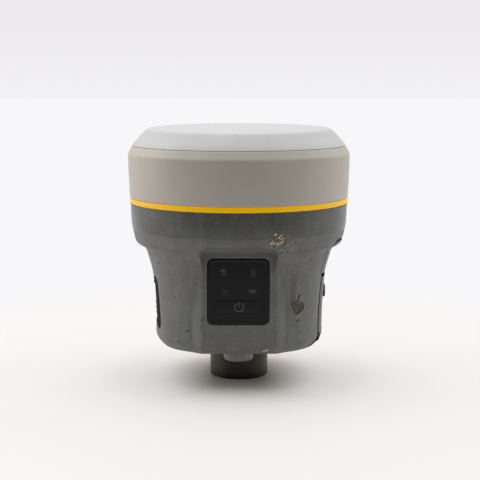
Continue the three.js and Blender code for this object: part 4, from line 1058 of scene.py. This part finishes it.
# ================================================================ keypad
loop = rounded_loop(31.6, 34.2, 3.2, 12)
panel = plate("keypad_panel_face", loop, [(0, -43.8), (0, -44.95), (0.08, -45.12), (0.3, -45.22), (1.15, -45.24), (1.35, -45.16), (1.5, -45.02), (1.8, -45.0)], M_FILM, place=(KX, 0, KZ), angle=60)
panel.data.materials.append(M_FILM2)
for p in panel.data.polygons:
    if abs(p.center.y / MM + 45.0) < 0.004 and len(p.vertices) > 8:
        p.material_index = 1
cut_btn = plate("k", rounded_loop(24.0, 7.0, 1.2, 6), [(0, -47), (0, -43)], None, place=(KX, 0, 45.3))
panel = boolean(panel, [cut_btn])
sharp_by_angle(panel.data, 50)
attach(panel, "receiver_body"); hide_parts("keypad_panel")


def strokes(name, lines, width, y, material, place=(0, 0)):
    """Printed line work: each line a list of (x, z) points, drawn as a flat raised strip."""
    cu = bpy.data.curves.new(name, "CURVE")
    cu.dimensions = "3D"
    cu.bevel_depth = width / 2 * MM
    cu.bevel_resolution = 2
    for pts, closed in lines:
        sp = cu.splines.new("POLY")
        sp.points.add(len(pts) - 1)
        for i, (a, b) in enumerate(pts):
            sp.points[i].co = ((place[0] + a) * MM, 0, (place[1] + b) * MM, 1)
        sp.use_cyclic_u = closed
    tmp = bpy.data.objects.new(name, cu)
    scene.collection.objects.link(tmp)
    dg = bpy.context.evaluated_depsgraph_get()
    me = bpy.data.meshes.new_from_object(tmp.evaluated_get(dg))
    bpy.data.objects.remove(tmp)
    me.transform(Matrix.Diagonal((1, 0.3, 1, 1)))
    me.transform(Matrix.Translation((0, y * MM, 0)))
    me.materials.clear()
    me.materials.append(material)
    for p in me.polygons:
        p.use_smooth = True
    o = bpy.data.objects.new(name, me)
    scene.collection.objects.link(o)
    return o


def arc(cx, cz, r, a0, a1, n=24):
    return [(cx + r * math.cos(math.radians(a0 + (a1 - a0) * k / n)), cz + r * math.sin(math.radians(a0 + (a1 - a0) * k / n))) for k in range(n + 1)]


def rect(cx, cz, w, h, rot=0):
    c, s = math.cos(math.radians(rot)), math.sin(math.radians(rot))
    return [(cx + a * c - b * s, cz + a * s + b * c) for a, b in ((-w / 2, -h / 2), (w / 2, -h / 2), (w / 2, h / 2), (-w / 2, h / 2))]


def window(node, x, z, name, icon):
    disc = plate(name, [(2.05 * math.cos(a), 2.05 * math.sin(a)) for a in np.linspace(0, 2 * math.pi, 48, endpoint=False)], [(0, -44.0), (0, -44.7), (0.1, -44.8)], M_FILM2, place=(x, 0, z))
    o = join(name, [disc, icon])
    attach(o, "receiver_body"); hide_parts(node)
    return o


YI = -45.015
sat = strokes("i", [(rect(-8.2, 64.3, 1.3, 0.9, 0), True), ([(-9.2, 64.3), (-7.2, 64.3)], False), (rect(-8.2, 64.3, 2.4, 1.3, 0), True), (arc(-7.6, 61.6, 1.3, 30, 150), False), (arc(-7.6, 61.0, 1.3, 30, 150), False)], 0.44, YI, M_ICON)
rad = strokes("i", [(arc(7.4, 63.0, 1.1, 30, 330), False), ([(6.5, 60.4), (7.4, 62.2), (8.3, 60.4)], False), ([(6.3, 64.0), (7.4, 63.0), (8.6, 61.9)], False), (arc(7.4, 62.9, 0.25, 0, 360, 8), True)], 0.38, YI, M_ICON)
wif = strokes("i", [(arc(-7.0, 53.0, 1.7, 110, 320), False), (arc(-6.9, 52.7, 1.2, 40, 140), False), (arc(-6.9, 53.0, 0.35, 0, 360, 8), True), ([(-6.1, 52.5), (-5.4, 51.7)], False)], 0.34, YI, M_ICON3)
bat = strokes("i", [(rect(6.9, 53.3, 3.0, 1.6), True), ([(5.4, 53.3), (8.4, 53.3)], False), ([(5.5, 53.0), (8.3, 53.0)], False), ([(5.5, 53.6), (8.3, 53.6)], False), ([(5.0, 53.3), (4.6, 53.3)], False)], 0.50, YI, M_ICON)
window("led_window_satellites", -7.4, 63.0, "status_mark_satellites", sat)
window("led_window_radio", 7.4, 63.0, "status_mark_radio", rad)
window("led_window_wifi", -7.4, 53.8, "status_mark_wifi", wif)
window("led_window_battery", 7.4, 53.8, "status_mark_battery", bat)

btn = plate("power_button_cap", rounded_loop(23.76, 6.76, 1.1, 6), [(0.2, -43.9), (0, -44.2), (0, -44.96), (0.25, -45.08), (0.6, -45.17), (0.9, -45.2)], M_FILM2, place=(KX, 0, 45.3), angle=70)
sym = strokes("i", [(arc(0.1, 45.1, 2.25, 120, 420, 40), False), ([(0.1, 45.2), (0.1, 47.7)], False)], 0.62, -45.19, M_ICON2)
stem = lathe("stem", [(0, 0), (1.4, 0), (1.5, 0.1), (1.5, 1.3), (0, 1.3)], M_BLACK, seg=32)
stem.data.transform(Matrix.Translation((0, -0.04305, 0.0453)) @ Matrix.Rotation(math.radians(90), 4, "X"))
btn = join("power_button_cap", [btn, sym, stem])
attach(btn, "power_button_body"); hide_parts("power_button")

# ================================================================ pole adapter and quick release
ad = [(0, 17.2), (10.2, 17.2), (10.2, 0.5), (10.5, 0.02), (14.9, 0.0), (15.55, 0.35), (15.7, 0.9), (15.7, 2.6), (15.6, 2.7), (15.6, 2.9), (15.7, 3.0), (15.7, 18.9), (15.4, 19.6), (15.4, 20.8), (11, 20.8), (11, 24),
      (9.2, 24), (9.2, 27.4), (11, 27.4), (11, 29.4), (10, 30.4), (0, 30.4)]
adapter = lathe("pole_adapter_turned", ad, M_ANOD, seg=160, smooth_angle=25)
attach(adapter, "receiver_body"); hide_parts("pole_adapter")
PITCH = 25.4 / 11
ins = [(10.1, 16.9), (10.1, 0.95), (8.9, 0.9), (8.3, 0.45)] + [(7.25, z) for z in np.linspace(0.5, 16.8, 110)] + [(10.1, 16.9)]


def thread(R, A, Z):
    ph = (Z / PITCH - A / (2 * math.pi)) % 1.0
    tri = np.abs(ph - 0.5) * 4 - 1
    e = np.clip((Z - 0.5) / 1.2, 0, 1) * np.clip((16.8 - Z) / 0.4, 0, 1)
    return np.where(R < 7.3, R + 0.42 * tri * e, R), Z


insert = lathe("thread_insert_ring", ins, M_TURNED, seg=96, mod=thread, smooth_angle=60)
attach(insert, "receiver_body"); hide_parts("thread_insert")

tab_loop = []
for k in range(33):
    a = math.pi + math.pi * k / 32
    tab_loop.append((7.5 * math.cos(a), 7.5 * math.sin(a)))
tab_loop += [(7.5, 0.4), (7.1, 0.85), (-7.1, 0.85), (-7.5, 0.4)]
tab = plate("tab", tab_loop, [(1.9, 11.95), (1.1, 12.02), (0.55, 12.3), (0.2, 12.8), (0.04, 13.5), (0, 14.4), (0, 19.1), (0.3, 19.38)], M_GREY, frame_axes="xy", place=(0, -19.3, 0), angle=75)
tab.data.transform(Matrix.Translation((-0.25 * MM, 0, 0)) @ Matrix.Diagonal((1.045, 1, 1, 1)))
stem2 = box_solid("s", (-5.3, -25.0, 19.0), (5.3, -19.5, 22.6), 0.4, M_GREY)
stem3 = box_solid("s2", (-3.9, -24.4, 22.3), (3.9, -18.6, 24.2), 0.3, M_GREY)
tab = join("release_button_tab", [tab, stem2, stem3])
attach(tab, "release_button_body"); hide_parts("release_button")


coil = []
NS, NW = 180, 10
for i in range(NS + 1):
    t = i / NS
    a = 2 * math.pi * 4.5 * t
    yc = 17.75 + 4.9 * (t * 0.86 + 0.14 * float(soft_step(t)))
    for k in range(NW):
        b = 2 * math.pi * k / NW
        r = 1.9 + 0.3 * math.cos(b)
        coil.append((r * math.cos(a), yc + 0.3 * math.sin(b), 25.6 + r * math.sin(a)))
cf = [[i * NW + k, (i + 1) * NW + k, (i + 1) * NW + (k + 1) % NW, i * NW + (k + 1) % NW] for i in range(NS) for k in range(NW)]
cf += [list(range(NW)), [NS * NW + k for k in range(NW)][::-1]]
spring = mesh_object("release_spring_coil", coil, cf, M_STEEL)
fix_normals(spring)
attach(spring, "receiver_body"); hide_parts("release_spring")
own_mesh(spring)

# ================================================================ underside fittings
jack_pts = [(0, 17.6), (3.9, 17.6), (3.9, 10.7), (4.25, 10.4)]
for k in range(14):
    z = 10.9 + k * 0.52
    jack_pts += [(4.85, z), (4.5, z + 0.26)]
jack_pts += [(4.85, 18.3), (7.8, 18.35), (8.0, 18.6), (8.0, 19.5), (7.8, 19.7), (5.4, 19.72), (5.4, 22.0), (0, 22.0)]
jack = lathe("jack", jack_pts, M_BRASS, seg=96, centre=(0, 31), smooth_angle=50)
pin = lathe("pin", [(0, 12.4), (0.9, 12.4), (1.9, 13.2), (1.9, 17.8), (0, 17.8)], M_GOLD, seg=32, centre=(0, 31))
jack = join("antenna_jack_body", [jack, pin])
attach(jack, "receiver_body"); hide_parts("antenna_jack")
for i, (sx, sy) in enumerate(((25.5, 25.5), (-25.5, 25.5), (-25.5, -25.5), (25.5, -25.5)), 1):
    s = lathe("s", [(0, 19.92), (2.4, 19.92), (2.95, 20.15), (3.1, 20.5), (3.1, 21.1), (1.55, 21.25), (1.55, 25.8), (0, 25.8)], M_STEEL, seg=48, centre=(sx, sy))
    hx = plate("h", [(sx + 1.45 * math.cos(a), sy + 1.45 * math.sin(a)) for a in np.linspace(0, 2 * math.pi, 6, endpoint=False)], [(0, 19.0), (0, 20.9)], M_STEEL, frame_axes="xy")
    s = boolean(s, [hx])
    s.name = "housing_screw_head_%d" % i
    sharp_by_angle(s.data, 30)
    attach(s, "receiver_body"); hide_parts("housing_screw_%d" % i)
vent = lathe("vent_plug_body", [(0, 20.15), (1.9, 20.15), (2.2, 20.35), (2.2, 20.7), (3.0, 20.8), (3.05, 21.0), (3.05, 22.6), (0, 22.6)], M_RUBBER, seg=48, centre=(-30, 4))
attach(vent, "receiver_body"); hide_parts("vent_plug")
rp = plate("rating_plate_blank", rounded_loop(30, 22, 1.8, 8), [(0, 45.06), (0, 45.32), (0.1, 45.38), (1.0, 45.38), (1.1, 45.33), (1.3, 45.33), (1.4, 45.38), (1.8, 45.38)], M_PLATE, place=(0, 0, 47), angle=30)
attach(rp, "receiver_body"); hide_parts("rating_plate")

# ================================================================ pieces that keep their solid
FINISH = {
    "radome_seal": M_GAP, "antenna_ground_plane": M_ALU, "antenna_board": M_BOARD, "lower_patch_antenna": M_CERAMIC, "upper_patch_antenna": M_CERAMIC,
    "amplifier_shield_can": M_STEEL, "antenna_coax": M_BLACK, "door_hinge_pin": M_BLACK, "door_seal": M_GAP, "battery_bay": M_BLACK, "battery_pack": M_CELL,
    "battery_contacts": M_GOLD, "round_port": M_STEEL, "usb_port": M_STEEL, "keypad_gasket": M_GAP, "keypad_board": M_BOARD, "power_switch": M_BLACK,
    "keypad_flex": M_GOLD, "adapter_socket": M_ALU, "latch_plate": M_STEEL, "antenna_jack_nut": M_BRASS,
    "antenna_jack_insulator": M_CERAMIC, "radio_coax": M_BLACK, "chassis_frame": M_ALU, "main_board": M_BOARD, "gnss_shield_can": M_STEEL,
    "wireless_module": M_STEEL, "tilt_sensor": M_BLACK, "power_board": M_BOARD, "radio_modem": M_STEEL, "power_lead": M_BLACK, "board_connector": M_BLACK,
}
for n, m in FINISH.items():
    o = NODES[n]
    o.data.materials.clear()
    o.data.materials.append(m)
    if n not in ("keypad_flex", "antenna_coax", "radio_coax", "power_lead", "radome_seal", "door_seal", "keypad_gasket"):
        b = o.modifiers.new("soft_edges", "BEVEL")
        b.width = 0.00025
        b.segments = 2
        b.limit_method = "ANGLE"
        b.angle_limit = math.radians(50)
        b.harden_normals = False

# ================================================================ floor, light, camera
me = bpy.data.meshes.new("floor_sheet")
me.from_pydata([(-6, -6, 0), (6, -6, 0), (6, 6, 0), (-6, 6, 0)], [], [(0, 1, 2, 3)])
floor = bpy.data.objects.new("floor_sheet", me)
scene.collection.objects.link(floor)
fm = bpy.data.materials.new("floor_pale")
fm.use_nodes = True
N = Net(fm.node_tree)
fm.node_tree.nodes.clear()
fo = N.add("ShaderNodeOutputMaterial")
dif = N.add("ShaderNodeBsdfPrincipled")
dif.inputs["Roughness"].default_value = 0.55
dif.inputs["Specular IOR Level"].default_value = 0.3
tco = N.add("ShaderNodeTexCoord")
emi = N.add("ShaderNodeEmission")
emi.inputs["Color"].default_value = srgb(247, 246, 249)
# the floor turns from lit diffuse into an even glow with distance from the centre, blending into the backdrop; near the
# object this glow lightens the cast shadow, which is painted light
dist = N.vmath("LENGTH", tco.outputs["Object"], out=1)
far = N.ramp(dist, 0.06, 0.34)
fsp = N.add("ShaderNodeSeparateXYZ")
fm.node_tree.links.new(tco.outputs["Object"], fsp.inputs[0])
# painted light: the floor glows more with distance from the centre line in x, so the cast shadow stays narrow
far = N.math("MAXIMUM", far, N.ramp(N.math("ABSOLUTE", fsp.outputs[0]), 0.010, 0.042, 0.0, 0.34))
flp = N.add("ShaderNodeLightPath")
# painted light: for camera rays the floor glows more from 31 mm out, so the cast shadow fades quickly away from the
# adapter
far = N.math("MAXIMUM", far, N.math("MULTIPLY", flp.outputs["Is Camera Ray"], N.ramp(dist, 0.031, 0.088, 0.0, 0.50)))
seen = N.math("MAXIMUM", flp.outputs["Is Camera Ray"], N.ramp(fsp.outputs[1], -0.45, -0.10, 0.05, 0.9))
# painted light: camera rays see a lighter floor colour than the one that lights the object, and its warm tint stands in
# for warm bounce light in the shadow
N.put(dif.inputs["Base Color"], N.mix(flp.outputs["Is Camera Ray"], (0.64, 0.60, 0.54, 1), (0.73, 0.69, 0.65, 1)))
N.put(emi.inputs["Strength"], seen)
mixs = N.add("ShaderNodeMixShader")
N.put(mixs.inputs[0], far)
fm.node_tree.links.new(dif.outputs[0], mixs.inputs[1])
fm.node_tree.links.new(emi.outputs[0], mixs.inputs[2])
# seen from below the sheet is clear, so that the underside can be looked at
under_mix = N.add("ShaderNodeMixShader")
clear = N.add("ShaderNodeBsdfTransparent")
N.put(under_mix.inputs[0], N.add("ShaderNodeNewGeometry").outputs["Backfacing"])
fm.node_tree.links.new(mixs.outputs[0], under_mix.inputs[1])
fm.node_tree.links.new(clear.outputs[0], under_mix.inputs[2])
fm.node_tree.links.new(under_mix.outputs[0], fo.inputs[0])
me.materials.append(fm)

w = bpy.data.worlds.new("studio")
scene.world = w
w.use_nodes = True
N = Net(w.node_tree)
w.node_tree.nodes.clear()
wo = N.add("ShaderNodeOutputWorld")
bg = N.add("ShaderNodeBackground")
bgc = N.add("ShaderNodeBackground")
lp = N.add("ShaderNodeLightPath")
tc = N.add("ShaderNodeTexCoord")
sp = N.add("ShaderNodeSeparateXYZ")
w.node_tree.links.new(tc.outputs["Generated"], sp.inputs[0])
up = N.math("MULTIPLY", N.ramp(sp.outputs[2], 0.28, 0.96), N.ramp(sp.outputs[1], -0.90, -0.02, 0.22, 1.0))
up = N.math("MULTIPLY", up, N.ramp(sp.outputs[0], -0.9, 0.9, 1.06, 0.86))
back = N.ramp(sp.outputs[1], -0.15, 0.65)
side = N.math("MULTIPLY", N.ramp(N.math("ABSOLUTE", sp.outputs[0]), 0.45, 0.95), N.ramp(sp.outputs[1], -0.75, -0.1))
level = N.math("ADD", N.math("ADD", 0.04, N.math("MULTIPLY", up, 1.66)), N.math("ADD", N.math("MULTIPLY", back, 0.55), N.math("MULTIPLY", side, 0.50)))
N.put(bg.inputs["Strength"], level)
N.put(bg.inputs["Color"], N.mix(N.ramp(sp.outputs[2], 0.2, 0.9), (1.0, 0.935, 0.84, 1), (0.965, 0.98, 1.0, 1)))
wsp = N.add("ShaderNodeSeparateXYZ")
w.node_tree.links.new(tc.outputs["Window"], wsp.inputs[0])
N.put(bgc.inputs["Color"], N.mix(N.ramp(wsp.outputs[1], 0.62, 1.0), srgb(247, 246, 249), srgb(236, 234, 236)))
mx = N.add("ShaderNodeMixShader")
w.node_tree.links.new(lp.outputs["Is Camera Ray"], mx.inputs[0])
w.node_tree.links.new(bg.outputs[0], mx.inputs[1])
w.node_tree.links.new(bgc.outputs[0], mx.inputs[2])
w.node_tree.links.new(mx.outputs[0], wo.inputs[0])


def area(name, loc, target, size, power, color=(1, 1, 1)):
    l = bpy.data.lights.new(name, "AREA")
    l.shape = "RECTANGLE"
    l.size, l.size_y = size
    l.energy = power
    l.color = color
    o = bpy.data.objects.new(name, l)
    scene.collection.objects.link(o)
    o.location = loc
    o.rotation_euler = (Vector(target) - Vector(loc)).to_track_quat("-Z", "Y").to_euler()
    return o


area("overhead", (0.0, 0.12, 0.95), (0, 0, 0.08), (0.7, 0.5), 2.2)
area("left_panel", (-0.75, 0.10, 0.30), (0, 0, 0.08), (0.5, 0.7), 0.9, (1.0, 0.96, 0.90))
area("right_panel", (0.75, 0.10, 0.30), (0, 0, 0.08), (0.5, 0.7), 0.16, (0.98, 0.99, 1.0))

cam = bpy.data.cameras.new("camera")
cam.sensor_width = 36.0
cam.lens = 97.5
cam.shift_x = 0.00235
cam.clip_start, cam.clip_end = 0.01, 50
co = bpy.data.objects.new("camera", cam)
scene.collection.objects.link(co)
co.location = (0.0, -0.700, 0.16793)
co.rotation_euler = (math.pi / 2 - 0.133801, 0, 0)
scene.camera = co
scene.view_settings.view_transform = "Standard"
